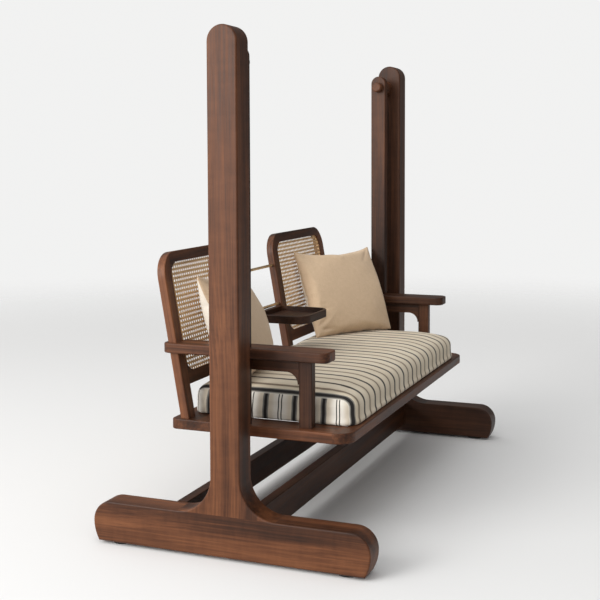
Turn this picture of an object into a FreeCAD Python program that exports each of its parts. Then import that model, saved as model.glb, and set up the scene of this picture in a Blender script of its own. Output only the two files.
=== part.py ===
import FreeCAD, Part
import math
import os

# A two-seat bench swing: two posts on long feet, joined low down by two stretchers, and a
# platform seat with caned backs that swings from the posts on two hanger arms.
# Millimetres. X runs along the seat, -Y is the front, +Z is up. The origin is the middle of
# the floor area that the swing covers. "left" is the -X end and "right" the +X end.

V = FreeCAD.Vector

# End frames
frame_length = 1970.0
frame_height = 1800.0
post_thickness = 96.0
post_width = 110.0
foot_length = 1030.0
foot_height = 144.0
foot_toe_radius = 140.0
bracket_radius = 128.0
frame_arris = 6.0
post_tenon_length = 80.0
post_tenon_shoulder = 18.0

# Pads and the bolts that hold a post on its foot
pad_height = 10.0
pad_diameter = 66.0
pad_setback = 91.0
pad_recess_diameter = 16.0
pad_recess_depth = 5.0
pad_screw_diameter = 6.0
pad_screw_length = 32.0
pad_screw_head_diameter = 12.0
pad_screw_head_height = 4.0
post_bolt_diameter = 10.0
post_bolt_length = 92.0
post_bolt_spacing = 44.0
post_bolt_head_diameter = 18.0
post_bolt_head_height = 8.0
bolt_clearance = 0.4
insert_diameter = 16.0
insert_length = 28.0

# Stretchers
stretcher_thickness = 40.0
stretcher_depth = 110.0
front_stretcher_y = -62.0
rear_stretcher_y = 212.0
stretcher_tenon_length = 52.0
stretcher_tenon_shoulder = 9.0
stretcher_arris = 3.0

# Pivot
pivot_y = 22.0
pivot_drop = 107.5
axle_diameter = 20.0
axle_embed = 62.0
running_clearance = 0.05
bush_wall = 4.0
hub_diameter = 75.0
hub_arris = 3.0
washer_diameter = 40.0
inner_washer_diameter = 32.0
washer_thickness = 1.5
side_play = 0.3
nut_across_flats = 27.0
nut_thickness = 12.0
axle_end_length = 3.0
knob_diameter = 46.0
knob_length = 32.0
knob_wall = 5.0
knob_end_radius = 7.0

# Hanger arms, held off the posts by the hubs
hanger_gap = 65.0
arm_thickness = 40.0
arm_width = 70.0
arm_crown_height = 52.5
arm_arris = 4.0

# Platform
platform_end_gap = 70.0
platform_front_y = -388.0
platform_depth = 680.0
platform_top_z = 428.0
platform_thickness = 38.0
platform_front_radius = 60.0
platform_rear_radius = 22.0
platform_arris = 5.0
front_rail_width = 64.0
rear_rail_width = 210.0
end_rail_width = 110.0
rail_tenon_length = 24.0
rail_tenon_shoulder = 11.0
slat_count = 8
slat_width = 84.0
slat_thickness = 14.0
slat_rebate = 20.0
slat_screw_diameter = 4.0
slat_screw_length = 12.0
slat_screw_head_diameter = 8.0
slat_screw_head_height = 2.5

# Arms of the seat
armrest_width = 104.0
armrest_thickness = 36.0
armrest_rise = 272.0
armrest_setback = 78.0
armrest_rear_overhang = 18.0
armrest_corner_radius = 30.0
armrest_arris = 5.0
apron_thickness = 36.0
apron_depth = 44.0
apron_bracket_radius = 42.0
apron_bracket_toe = 4.0
arm_post_setback = 72.0
arm_post_width = 48.0
arm_post_arris = 3.0
dowel_diameter = 10.0
dowel_length = 50.0
dowel_spacing = 22.0

# Backs
back_lean_deg = 10.0
back_foot_setback = 34.0
back_end_inset = 17.0
backs_gap = 364.0
back_height = 597.0
back_thickness = 33.0
stile_width = 50.0
top_rail_width = 40.0
bottom_rail_low = 112.0
bottom_rail_width = 45.0
back_corner_radius = 92.0
opening_corner_radius = 52.0
back_arris = 4.0
stile_tenon_length = 25.0
stile_tenon_shoulder = 7.0
cane_thickness = 2.4
cane_setback = 5.0
cane_rebate = 7.0
cane_pitch = 27.0
cane_gap = 17.0
cane_margin = 9.0
bead_depth = 8.0
bottom_dowel_shares = (0.25, 0.75)
top_dowel_depth = 38.0

# Rods and tray between the backs
rod_diameter = 12.0
rod_socket_depth = 14.0
upper_rod_height = 461.0
lower_rod_height = 290.0
tray_end_gap = 35.0
tray_depth = 235.0
tray_rise = 252.0
tray_height = 33.0
tray_front_radius = 62.0
tray_rear_radius = 30.0
tray_wall = 12.0
tray_floor = 10.0
tray_groove = 5.0
tray_arris = 3.5
bearer_height = 26.0
bearer_depth = 30.0
tray_screw_diameter = 5.0
tray_screw_length = 70.0
tray_screw_spacing = 110.0
tray_screw_count = 3

# Bolts that hold the platform and the armrests to the hanger arms
hanger_bolt_diameter = 8.0
hanger_bolt_length = 84.0
hanger_bolt_head_diameter = 16.0
hanger_bolt_head_height = 7.0
hanger_bolt_spacing = 36.0
plug_diameter = 18.0
plug_thickness = 6.0

# Soft pieces
soft_clearance = 0.4
cushion_end_gap = 26.0
cushion_front_gap = 10.0
cushion_rear_gap = 2.0
cushion_thickness = 125.0
cushion_front_radius = 72.0
cushion_rear_radius = 34.0
cushion_side_bow = 4.0
cushion_stile_clearance = 2.0
pillow_width = 437.0
pillow_height = 408.0
pillow_corner_radius = 9.0
pillow_side_bow = 13.0
pillow_foot_bow = 2.0
pillow_round_share = 0.12
left_pillow_half_thickness = 74.0
left_pillow_end_gap = 229.4
left_pillow_rear_gap = 165.7
left_pillow_turn_deg = 8.3
left_pillow_lean_deg = 23.8
left_pillow_settle = 2.4
right_pillow_half_thickness = 66.0
right_pillow_end_gap = 247.0
right_pillow_rear_gap = 221.0
right_pillow_turn_deg = -32.7
right_pillow_lean_deg = 25.3
right_pillow_settle = 1.7

# One overrun for every cutting tool, and how far a measured place may be off
overrun = 20.0
place_tolerance = 0.002
direction_tolerance_share = 1e-6
nut_sides = 6
cane_gap_sides = 8

# Places that follow from the sizes above
frame_outer_x = frame_length / 2
frame_inner_x = frame_outer_x - post_thickness
post_half = post_width / 2
foot_half = foot_length / 2
foot_bottom_z = pad_height
foot_top_z = foot_bottom_z + foot_height
foot_tip_radius = foot_height / 2
pivot_z = frame_height - pivot_drop
arm_outer_x = frame_inner_x - hanger_gap
arm_inner_x = arm_outer_x - arm_thickness
arm_half = arm_width / 2
platform_half = frame_inner_x - platform_end_gap
platform_rear_y = platform_front_y + platform_depth
platform_bottom_z = platform_top_z - platform_thickness
back_lean = math.radians(back_lean_deg)
back_lean_slope = math.tan(back_lean)
back_foot_y = platform_rear_y - back_foot_setback
back_foot_front_y = back_foot_y - back_thickness / math.cos(back_lean)
back_outer_x = arm_outer_x - back_end_inset
back_inner_x = backs_gap / 2
armrest_inner_x = arm_outer_x - armrest_width
armrest_top_z = platform_top_z + armrest_rise
armrest_bottom_z = armrest_top_z - armrest_thickness
armrest_front_y = platform_front_y + armrest_setback
armrest_rear_y = back_foot_y + armrest_rise * back_lean_slope + armrest_rear_overhang
apron_bottom_z = armrest_bottom_z - apron_depth
apron_inner_x = arm_inner_x - apron_thickness
arm_post_front_y = armrest_front_y + arm_post_setback
arm_post_rear_y = arm_post_front_y + arm_post_width
tray_half = back_inner_x - tray_end_gap
tray_bottom_z = platform_top_z + tray_rise
tray_rear_y = back_foot_front_y + tray_rise * back_lean_slope
tray_front_y = tray_rear_y - tray_depth
opening_low = bottom_rail_low + bottom_rail_width
opening_high = back_height - top_rail_width
cushion_half = apron_inner_x - cushion_end_gap
cushion_front_y = platform_front_y + cushion_front_gap
cushion_rear_y = back_foot_y - cushion_rear_gap
cushion_bottom_z = platform_top_z + soft_clearance
pillow_bottom_z = cushion_bottom_z + cushion_thickness + soft_clearance

parts = {}


def box(x0, x1, y0, y1, z0, z1):
    """A box between two corners, given in any order."""
    low = V(min(x0, x1), min(y0, y1), min(z0, z1))
    return Part.makeBox(abs(x1 - x0), abs(y1 - y0), abs(z1 - z0), low)


def rod_x(diameter, x0, x1, y, z):
    """A round bar along X."""
    return Part.makeCylinder(diameter / 2, abs(x1 - x0), V(min(x0, x1), y, z), V(1, 0, 0))


def rod_y(diameter, x, y0, y1, z):
    """A round bar along Y."""
    return Part.makeCylinder(diameter / 2, y1 - y0, V(x, y0, z), V(0, 1, 0))


def rod_z(diameter, x, y, z0, z1):
    """A round bar along Z."""
    return Part.makeCylinder(diameter / 2, z1 - z0, V(x, y, z0), V(0, 0, 1))


def line(a, b):
    """A straight edge."""
    return Part.LineSegment(a, b).toShape()


def arc(a, middle, b):
    """An arc through three points."""
    return Part.Arc(a, middle, b).toShape()


def fillet_arc(corner, toward_a, toward_b, radius):
    """The tangent arc that rounds a right-angled corner, from the a side to the b side."""
    a = corner + toward_a * radius
    b = corner + toward_b * radius
    centre = corner + (toward_a + toward_b) * radius
    middle = centre - (toward_a + toward_b).normalize() * radius
    return a, middle, b


def rounded_outline(x0, x1, y0, y1, radii, z):
    """A flat wire round a rectangle. The radii run from the low corner anticlockwise."""
    east, north = V(1, 0, 0), V(0, 1, 0)
    corners = [
        (V(x0, y0, z), north, east, radii[0]),
        (V(x1, y0, z), -east, north, radii[1]),
        (V(x1, y1, z), -north, -east, radii[2]),
        (V(x0, y1, z), east, -north, radii[3]),
    ]
    arcs = [fillet_arc(*corner) for corner in corners]
    edges = []
    for index, (a, middle, b) in enumerate(arcs):
        edges.append(arc(a, middle, b))
        edges.append(line(b, arcs[(index + 1) % len(arcs)][0]))
    return Part.Wire(edges)


def plate(wire, thickness):
    """A flat wire made into a plate that rises from it."""
    return Part.Face(wire).extrude(V(0, 0, thickness))


def loop_edges(solid, direction, places):
    """The edges of a solid that lie in any of the planes at these places along a direction."""
    found = []
    for edge in solid.Edges:
        heights = [vertex.Point.dot(direction) for vertex in edge.Vertexes]
        heights.append(edge.CenterOfMass.dot(direction))
        for place in places:
            if max(abs(height - place) for height in heights) < place_tolerance:
                found.append(edge)
                break
    return found


def edges_along(solid, direction, shortest):
    """The straight edges of a solid that run along a direction."""
    found = []
    for edge in solid.Edges:
        if len(edge.Vertexes) == 2 and edge.Length > shortest:
            run = (edge.Vertexes[1].Point - edge.Vertexes[0].Point).normalize()
            if abs(abs(run.dot(direction)) - 1) < direction_tolerance_share:
                found.append(edge)
    return found


def mirrored(shape):
    """The same shape at the other end of the swing."""
    return shape.mirror(V(0, 0, 0), V(1, 0, 0))


def both_ends(name, shape):
    """Keep a piece of the right end, and its mirror image for the left end."""
    parts["right_" + name] = shape
    parts["left_" + name] = mirrored(shape)


def group(name, solids):
    """Keep identical small pieces as one node."""
    parts[name] = Part.makeCompound(solids)


def pair(shape):
    """A piece and its mirror image."""
    return [shape, mirrored(shape)]


def on_back(x, up, forward):
    """A point of a back: along X, up its slope, and forward from its rear face."""
    y = back_foot_y + up * math.sin(back_lean) - forward * math.cos(back_lean)
    z = platform_top_z + up * math.cos(back_lean) + forward * math.sin(back_lean)
    return V(x, y, z)


def lean(shape):
    """Take a shape drawn flat, X across, Y up the back and Z forward, to the leaning back."""
    placed = shape.copy()
    placed.rotate(V(0, 0, 0), V(1, 0, 0), 90 - back_lean_deg)
    placed.translate(V(0, back_foot_y, platform_top_z))
    return placed


def end_frame_outline():
    """The closed outline of post, brackets and foot in the YZ plane at the inner face."""
    x = frame_inner_x
    toe_centre_y = foot_half - foot_toe_radius
    tip_z = foot_bottom_z + foot_tip_radius
    toe_low_y = toe_centre_y + math.sqrt(foot_toe_radius ** 2 - foot_tip_radius ** 2)
    toe_mid_angle = -math.asin(foot_tip_radius / foot_toe_radius) / 2
    toe_mid = V(x, toe_centre_y + foot_toe_radius * math.cos(toe_mid_angle),
                tip_z + foot_toe_radius * math.sin(toe_mid_angle))
    shoulder_y = foot_half - foot_tip_radius
    half_root = math.sqrt(2) / 2
    tip_mid = V(x, shoulder_y + foot_tip_radius * half_root, tip_z + foot_tip_radius * half_root)
    cove_y = post_half + bracket_radius
    cove_z = foot_top_z + bracket_radius
    cove_mid = V(x, cove_y - bracket_radius * half_root, cove_z - bracket_radius * half_root)
    crown_z = frame_height - post_half
    crown_mid = V(x, post_half * half_root, crown_z + post_half * half_root)
    right = [
        ("arc", V(x, toe_low_y, foot_bottom_z), toe_mid, V(x, foot_half, tip_z)),
        ("arc", V(x, foot_half, tip_z), tip_mid, V(x, shoulder_y, foot_top_z)),
        ("line", V(x, shoulder_y, foot_top_z), None, V(x, cove_y, foot_top_z)),
        ("arc", V(x, cove_y, foot_top_z), cove_mid, V(x, post_half, cove_z)),
        ("line", V(x, post_half, cove_z), None, V(x, post_half, crown_z)),
        ("arc", V(x, post_half, crown_z), crown_mid, V(x, 0, frame_height)),
    ]
    edges = [line(V(x, -toe_low_y, foot_bottom_z), V(x, toe_low_y, foot_bottom_z))]
    for kind, a, middle, b in right:
        edges.append(line(a, b) if kind == "line" else arc(a, middle, b))
    for kind, a, middle, b in reversed(right):
        a, b = V(a.x, -a.y, a.z), V(b.x, -b.y, b.z)
        if kind == "line":
            edges.append(line(b, a))
        else:
            edges.append(arc(b, V(middle.x, -middle.y, middle.z), a))
    return Part.Wire(edges)


def stretcher_tenon(y):
    """The tenon that carries a stretcher's end in the right foot."""
    half = stretcher_thickness / 2 - stretcher_tenon_shoulder
    low = foot_top_z - stretcher_depth + stretcher_tenon_shoulder
    return box(frame_inner_x - stretcher_tenon_length, frame_inner_x + stretcher_tenon_length,
               y - half, y + half, low, foot_top_z - stretcher_tenon_shoulder)


def make_end_frames():
    """Posts, brackets, feet and what holds each post on its foot."""
    whole = Part.Face(end_frame_outline()).extrude(V(post_thickness, 0, 0))
    loops = loop_edges(whole, V(1, 0, 0), [frame_inner_x, frame_outer_x])
    whole = whole.makeFillet(frame_arris, loops)
    middle_x = (frame_inner_x + frame_outer_x) / 2
    above = box(frame_inner_x - overrun, frame_outer_x + overrun, -post_half, post_half,
                foot_top_z, frame_height + overrun)
    below = box(frame_inner_x - overrun, frame_outer_x + overrun, -foot_length, foot_length,
                -overrun, foot_top_z)
    post = whole.common(above)
    foot = whole.common(below)
    brackets = whole.cut(above).cut(below)

    tenon_half_x = post_thickness / 2 - post_tenon_shoulder
    tenon_half_y = post_half - post_tenon_shoulder
    tenon_low = foot_top_z - post_tenon_length
    tenon = box(middle_x - tenon_half_x, middle_x + tenon_half_x, -tenon_half_y, tenon_half_y,
                tenon_low, foot_top_z)
    post = post.fuse(tenon).removeSplitter()
    foot = foot.cut(tenon)
    for y in (front_stretcher_y, rear_stretcher_y):
        foot = foot.cut(stretcher_tenon(y))
    post = post.cut(rod_x(axle_diameter, frame_inner_x - overrun, frame_inner_x + axle_embed,
                          pivot_y, pivot_z))

    bolts = []
    inserts = []
    head_z = foot_bottom_z + post_bolt_head_height + post_bolt_diameter
    bolt_top = head_z + post_bolt_length
    for y in (-post_bolt_spacing / 2, post_bolt_spacing / 2):
        shank = rod_z(post_bolt_diameter, middle_x, y, head_z, bolt_top)
        head = rod_z(post_bolt_head_diameter, middle_x, y, head_z - post_bolt_head_height, head_z)
        insert = rod_z(insert_diameter, middle_x, y, tenon_low, tenon_low + insert_length)
        bore = rod_z(post_bolt_diameter + bolt_clearance, middle_x, y, foot_bottom_z - overrun,
                     bolt_top + bolt_clearance)
        well = rod_z(post_bolt_head_diameter + bolt_clearance, middle_x, y,
                     foot_bottom_z - overrun, head_z)
        foot = foot.cut(bore).cut(well)
        post = post.cut(insert).cut(bore)
        inserts += pair(insert.cut(shank))
        bolts += pair(shank.fuse(head).removeSplitter())

    pads = []
    screws = []
    for y in (-(foot_half - pad_setback), foot_half - pad_setback):
        head_top = pad_recess_depth + pad_screw_head_height
        pad = rod_z(pad_diameter, middle_x, y, 0, pad_height)
        screw = rod_z(pad_screw_diameter, middle_x, y, pad_recess_depth,
                      pad_recess_depth + pad_screw_length)
        head = rod_z(pad_screw_head_diameter, middle_x, y, pad_recess_depth, head_top)
        screw = screw.fuse(head).removeSplitter()
        pad = pad.cut(rod_z(pad_recess_diameter, middle_x, y, -overrun, pad_recess_depth))
        pads += pair(pad.cut(screw))
        screws += pair(screw)
        foot = foot.cut(screw)

    both_ends("post", post)
    both_ends("foot", foot)
    both_ends("post_brackets", Part.makeCompound(brackets.Solids))
    group("post_bolts", bolts)
    group("post_bolt_inserts", inserts)
    group("foot_pads", pads)
    group("foot_pad_screws", screws)


def make_stretchers():
    """The two stretchers that join the feet, tenoned at each end."""
    for name, y in (("front_stretcher", front_stretcher_y), ("rear_stretcher", rear_stretcher_y)):
        bar = box(-frame_inner_x, frame_inner_x, y - stretcher_thickness / 2,
                  y + stretcher_thickness / 2, foot_top_z - stretcher_depth, foot_top_z)
        bar = bar.makeFillet(stretcher_arris, edges_along(bar, V(1, 0, 0), frame_inner_x))
        tenon = stretcher_tenon(y)
        parts[name] = bar.fuse([tenon, mirrored(tenon)]).removeSplitter()


def make_pivots():
    """Axles, hubs, washers, nuts, bushes and the knobs over the nuts."""
    hub_end = arm_outer_x + side_play + washer_thickness
    nut_start = arm_inner_x - side_play - washer_thickness
    axle_end = nut_start - nut_thickness - axle_end_length
    axle = rod_x(axle_diameter, axle_end, frame_inner_x + axle_embed, pivot_y, pivot_z)
    hub = rod_x(hub_diameter, hub_end, frame_inner_x, pivot_y, pivot_z)
    hub = hub.makeFillet(hub_arris, loop_edges(hub, V(1, 0, 0), [hub_end])).cut(axle)
    outer_washer = rod_x(washer_diameter, arm_outer_x + side_play, hub_end, pivot_y, pivot_z)
    inner_washer = rod_x(inner_washer_diameter, nut_start, arm_inner_x - side_play,
                         pivot_y, pivot_z)
    corner = nut_across_flats / 2 / math.cos(math.pi / nut_sides)
    points = []
    for index in range(nut_sides + 1):
        angle = math.pi * 2 / nut_sides * index
        points.append(V(nut_start, pivot_y + corner * math.cos(angle),
                        pivot_z + corner * math.sin(angle)))
    nut = Part.Face(Part.makePolygon(points)).extrude(V(-nut_thickness, 0, 0)).cut(axle)
    bush_outer = axle_diameter + bush_wall * 2
    bush = rod_x(bush_outer, arm_inner_x, arm_outer_x, pivot_y, pivot_z)
    bush = bush.cut(rod_x(axle_diameter + running_clearance * 2, arm_inner_x - overrun,
                          arm_outer_x + overrun, pivot_y, pivot_z))
    knob_end = arm_inner_x - knob_length
    knob = rod_x(knob_diameter, knob_end, arm_inner_x, pivot_y, pivot_z)
    knob = knob.makeFillet(knob_end_radius, loop_edges(knob, V(1, 0, 0), [knob_end]))
    knob = knob.cut(rod_x(knob_diameter - knob_wall * 2, knob_end + knob_end_radius,
                          arm_inner_x + overrun, pivot_y, pivot_z))
    group("pivot_axles", pair(axle))
    group("pivot_hubs", pair(hub))
    group("thrust_washers", pair(outer_washer.cut(axle)) + pair(inner_washer.cut(axle)))
    group("axle_nuts", pair(nut))
    group("pivot_bushes", pair(bush))
    both_ends("pivot_knob", knob)


def hanger_bolt(y, z):
    """One bolt through the right hanger arm, with the plug that hides its head."""
    head_end = arm_outer_x - plug_thickness
    head_start = head_end - hanger_bolt_head_height
    shank = rod_x(hanger_bolt_diameter, head_start - hanger_bolt_length, head_start, y, z)
    head = rod_x(hanger_bolt_head_diameter, head_start, head_end, y, z)
    plug = rod_x(plug_diameter, head_end, arm_outer_x, y, z)
    return shank.fuse(head).removeSplitter(), plug


def hanger_bolt_places():
    """Where the bolts of one hanger arm are, as pairs of Y and Z."""
    platform_middle = platform_top_z - platform_thickness / 2
    armrest_middle = armrest_top_z - armrest_thickness / 2
    return [
        (pivot_y - hanger_bolt_spacing / 2, platform_middle),
        (pivot_y + hanger_bolt_spacing / 2, platform_middle),
        (pivot_y, armrest_middle),
    ]


def hanger_block():
    """The space that the right hanger arm takes, for the pieces that are notched round it."""
    return box(arm_inner_x, arm_outer_x + overrun, pivot_y - arm_half, pivot_y + arm_half,
               platform_bottom_z - overrun, pivot_z)


def make_hanger_arms():
    """The two hanger arms, round-topped, with their bushes' bores and bolt holes."""
    crown_z = pivot_z + arm_crown_height - arm_half
    x = arm_inner_x
    top = V(x, pivot_y, crown_z + arm_half)
    half_root = math.sqrt(2) / 2
    side = arm_half * half_root
    front_low = V(x, pivot_y - arm_half, platform_bottom_z)
    rear_low = V(x, pivot_y + arm_half, platform_bottom_z)
    front_high = V(x, pivot_y - arm_half, crown_z)
    rear_high = V(x, pivot_y + arm_half, crown_z)
    outline = Part.Wire([
        line(front_low, rear_low),
        line(rear_low, rear_high),
        arc(rear_high, V(x, pivot_y + side, crown_z + side), top),
        arc(top, V(x, pivot_y - side, crown_z + side), front_high),
        line(front_high, front_low),
    ])
    arm = Part.Face(outline).extrude(V(arm_thickness, 0, 0))
    rims = [edge for edge in loop_edges(arm, V(1, 0, 0), [arm_inner_x, arm_outer_x])
            if edge.CenterOfMass.z > platform_top_z]
    arm = arm.makeFillet(arm_arris, rims)
    arm = arm.cut(rod_x(axle_diameter + bush_wall * 2, arm_inner_x - overrun,
                        arm_outer_x + overrun, pivot_y, pivot_z))
    bolts = []
    plugs = []
    for y, z in hanger_bolt_places():
        bolt, plug = hanger_bolt(y, z)
        arm = arm.cut(bolt).cut(plug)
        bolts += pair(bolt)
        plugs += pair(plug)
    both_ends("hanger_arm", arm)
    group("hanger_bolts", bolts)
    group("bolt_plugs", plugs)


def stile_tenon(stile_x):
    """The tenon under a stile of the right back, let into the rear rail."""
    depth = back_thickness / math.cos(back_lean)
    return box(stile_x + stile_tenon_shoulder, stile_x + stile_width - stile_tenon_shoulder,
               back_foot_y - depth + stile_tenon_shoulder, back_foot_y - stile_tenon_shoulder,
               platform_top_z - stile_tenon_length, platform_top_z + stile_tenon_shoulder)


def stile_places():
    """The low X of each stile of the right back."""
    return [back_inner_x, back_outer_x - stile_width]


def make_platform():
    """The platform: two long rails, two end rails and the slats that carry the cushion."""
    outline = rounded_outline(-platform_half, platform_half, platform_front_y, platform_rear_y,
                              [platform_front_radius, platform_front_radius,
                               platform_rear_radius, platform_rear_radius], platform_bottom_z)
    slab = plate(outline, platform_thickness)
    slab = slab.makeFillet(platform_arris,
                           loop_edges(slab, V(0, 0, 1), [platform_bottom_z, platform_top_z]))
    front_inner = platform_front_y + front_rail_width
    rear_inner = platform_rear_y - rear_rail_width
    end_inner = platform_half - end_rail_width
    low, high = platform_bottom_z - overrun, platform_top_z + overrun
    wide = platform_half + overrun
    front = slab.common(box(-wide, wide, platform_front_y - overrun, front_inner, low, high))
    rear = slab.common(box(-wide, wide, rear_inner, platform_rear_y + overrun, low, high))
    end = slab.common(box(end_inner, wide, front_inner, rear_inner, low, high))

    tenon = box(end_inner + rail_tenon_shoulder, platform_half - platform_front_radius,
                front_inner - rail_tenon_length, rear_inner + rail_tenon_length,
                platform_bottom_z + rail_tenon_shoulder, platform_top_z - rail_tenon_shoulder)
    end = end.fuse(tenon).removeSplitter().cut(hanger_block())
    for y, z in hanger_bolt_places():
        end = end.cut(hanger_bolt(y, z)[0])
    for shape in (tenon, mirrored(tenon)):
        front = front.cut(shape)
        rear = rear.cut(shape)
    for x in stile_places():
        for shape in pair(stile_tenon(x)):
            rear = rear.cut(shape)

    rebate_low = platform_top_z - slat_thickness
    rebate = box(-end_inner, end_inner, front_inner - slat_rebate, rear_inner + slat_rebate,
                 rebate_low, high)
    front = front.cut(rebate)
    rear = rear.cut(rebate)
    slats = []
    screws = []
    gap = (end_inner * 2 - slat_width * slat_count) / (slat_count + 1)
    for index in range(slat_count):
        x0 = -end_inner + gap + (slat_width + gap) * index
        slat = box(x0, x0 + slat_width, front_inner - slat_rebate, rear_inner + slat_rebate,
                   rebate_low, platform_top_z)
        middle = x0 + slat_width / 2
        for y in (front_inner - slat_rebate / 2, rear_inner + slat_rebate / 2):
            head_low = platform_top_z - slat_screw_head_height
            screw_low = head_low - slat_thickness - slat_screw_length
            screw = rod_z(slat_screw_diameter, middle, y, screw_low, head_low)
            head = rod_z(slat_screw_head_diameter, middle, y, head_low, platform_top_z)
            screw = screw.fuse(head).removeSplitter()
            slat = slat.cut(screw)
            front = front.cut(screw)
            rear = rear.cut(screw)
            screws.append(screw)
        slats.append(slat)
    parts["front_platform_rail"] = front
    parts["rear_platform_rail"] = rear
    both_ends("platform_end_rail", end)
    group("seat_slats", slats)
    group("slat_screws", screws)


def back_outline(low):
    """The outer outline of the right back, drawn flat, with its rounded top corners."""
    sharp = back_arris * 2
    return rounded_outline(back_inner_x, back_outer_x, low, back_height,
                           [sharp, sharp, back_corner_radius, back_corner_radius], 0)


def opening_outline(grow):
    """The opening of the right back, drawn flat, made larger all round."""
    radius = opening_corner_radius + grow
    return rounded_outline(back_inner_x + stile_width - grow, back_outer_x - stile_width + grow,
                           opening_low - grow, opening_high + grow, [radius] * 4, 0)


def outer_stile_block(height):
    """The space that the right back's outer stile takes, drawn long enough to cut with."""
    flat = box(back_outer_x - stile_width, back_outer_x, -overrun, height, 0, back_thickness)
    return lean(flat)


def cane_holes():
    """The gaps of the cane net, as many-sided wires drawn flat."""
    left = back_inner_x + stile_width
    right = back_outer_x - stile_width
    usable_x = right - left - cane_margin * 2
    usable_y = opening_high - opening_low - cane_margin * 2
    columns = int((usable_x + cane_pitch - cane_gap) / cane_pitch)
    rows = int((usable_y + cane_pitch - cane_gap) / cane_pitch)
    start_x = (left + right - cane_pitch * (columns - 1)) / 2
    start_y = (opening_low + opening_high - cane_pitch * (rows - 1)) / 2
    half_side = math.pi / cane_gap_sides
    radius = cane_gap / 2 / math.cos(half_side)
    clear = opening_corner_radius * (1 - math.sqrt(2) / 2) + cane_margin
    wires = []
    for column in range(columns):
        for row in range(rows):
            x = start_x + cane_pitch * column
            y = start_y + cane_pitch * row
            edge_x = min(x - left, right - x)
            edge_y = min(y - opening_low, opening_high - y)
            if edge_x + edge_y < clear * 2 + cane_gap / 2:
                continue
            points = []
            for corner in range(cane_gap_sides + 1):
                angle = half_side * (corner * 2 + 1)
                points.append(V(x + radius * math.cos(angle), y + radius * math.sin(angle), 0))
            wires.append(Part.makePolygon(points))
    print("cane gaps in each back:", len(wires))
    return wires


def make_backs():
    """The two caned backs: four rails and stiles each, the cane net and its bead."""
    frame = plate(back_outline(-overrun * 2), back_thickness)
    rims = [edge for edge in loop_edges(frame, V(0, 0, 1), [0, back_thickness])
            if edge.BoundBox.YMax > bottom_rail_low]
    frame = frame.makeFillet(back_arris, rims)
    opening = plate(opening_outline(0), back_thickness)
    frame = frame.cut(opening)
    frame = frame.cut(box(back_inner_x + stile_width, back_outer_x - stile_width,
                          -overrun * 3, bottom_rail_low, -overrun, back_thickness + overrun))
    cane_back = back_thickness - cane_setback - cane_thickness
    rebate = plate(opening_outline(cane_rebate), cane_back + cane_thickness)
    frame = frame.cut(rebate)

    cane = Part.makeFace([opening_outline(cane_rebate)] + cane_holes(),
                         "Part::FaceMakerBullseye")
    cane = cane.extrude(V(0, 0, cane_thickness))
    cane.translate(V(0, 0, cane_back))
    bead = plate(opening_outline(cane_rebate), bead_depth)
    bead = bead.cut(plate(opening_outline(0), bead_depth))
    bead.translate(V(0, 0, cane_back - bead_depth))

    below = box(-frame_length, frame_length, -foot_length, foot_length,
                -overrun, platform_top_z)
    low, high = -overrun * 3, back_height + overrun
    behind, before = -overrun, back_thickness + overrun
    split_inner = back_inner_x + stile_width
    split_outer = back_outer_x - stile_width
    inner = frame.common(box(back_inner_x - overrun, split_inner, low, high, behind, before))
    outer = frame.common(box(split_outer, back_outer_x + overrun, low, high, behind, before))
    top = frame.common(box(split_inner, split_outer, (opening_low + opening_high) / 2, high,
                           behind, before))
    bottom = frame.common(box(split_inner, split_outer, low, (opening_low + opening_high) / 2,
                              behind, before))

    dowels = []
    dowel_places = [back_height - top_dowel_depth]
    for share in bottom_dowel_shares:
        dowel_places.append(bottom_rail_low + bottom_rail_width * share)
    for x in (split_inner, split_outer):
        for up in dowel_places:
            dowels.append(rod_x(dowel_diameter, x - dowel_length / 2, x + dowel_length / 2,
                                up, cane_back - bead_depth - dowel_diameter / 2))
    for dowel in dowels:
        inner = inner.cut(dowel)
        outer = outer.cut(dowel)
        top = top.cut(dowel)
        bottom = bottom.cut(dowel)

    inner = lean(inner).cut(below).fuse(stile_tenon(back_inner_x)).removeSplitter()
    outer = lean(outer).cut(below)
    outer = outer.fuse(stile_tenon(back_outer_x - stile_width)).removeSplitter()
    for up in (upper_rod_height, lower_rod_height):
        centre = on_back(0, up, back_thickness / 2)
        inner = inner.cut(rod_x(rod_diameter, back_inner_x - overrun,
                                back_inner_x + rod_socket_depth, centre.y, centre.z))
    both_ends("back_inner_stile", inner)
    both_ends("back_outer_stile", outer)
    both_ends("back_top_rail", lean(top))
    both_ends("back_bottom_rail", lean(bottom))
    both_ends("cane_panel", lean(cane))
    both_ends("cane_bead", lean(bead))
    group("back_dowels", sum([pair(lean(dowel)) for dowel in dowels], []))


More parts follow.
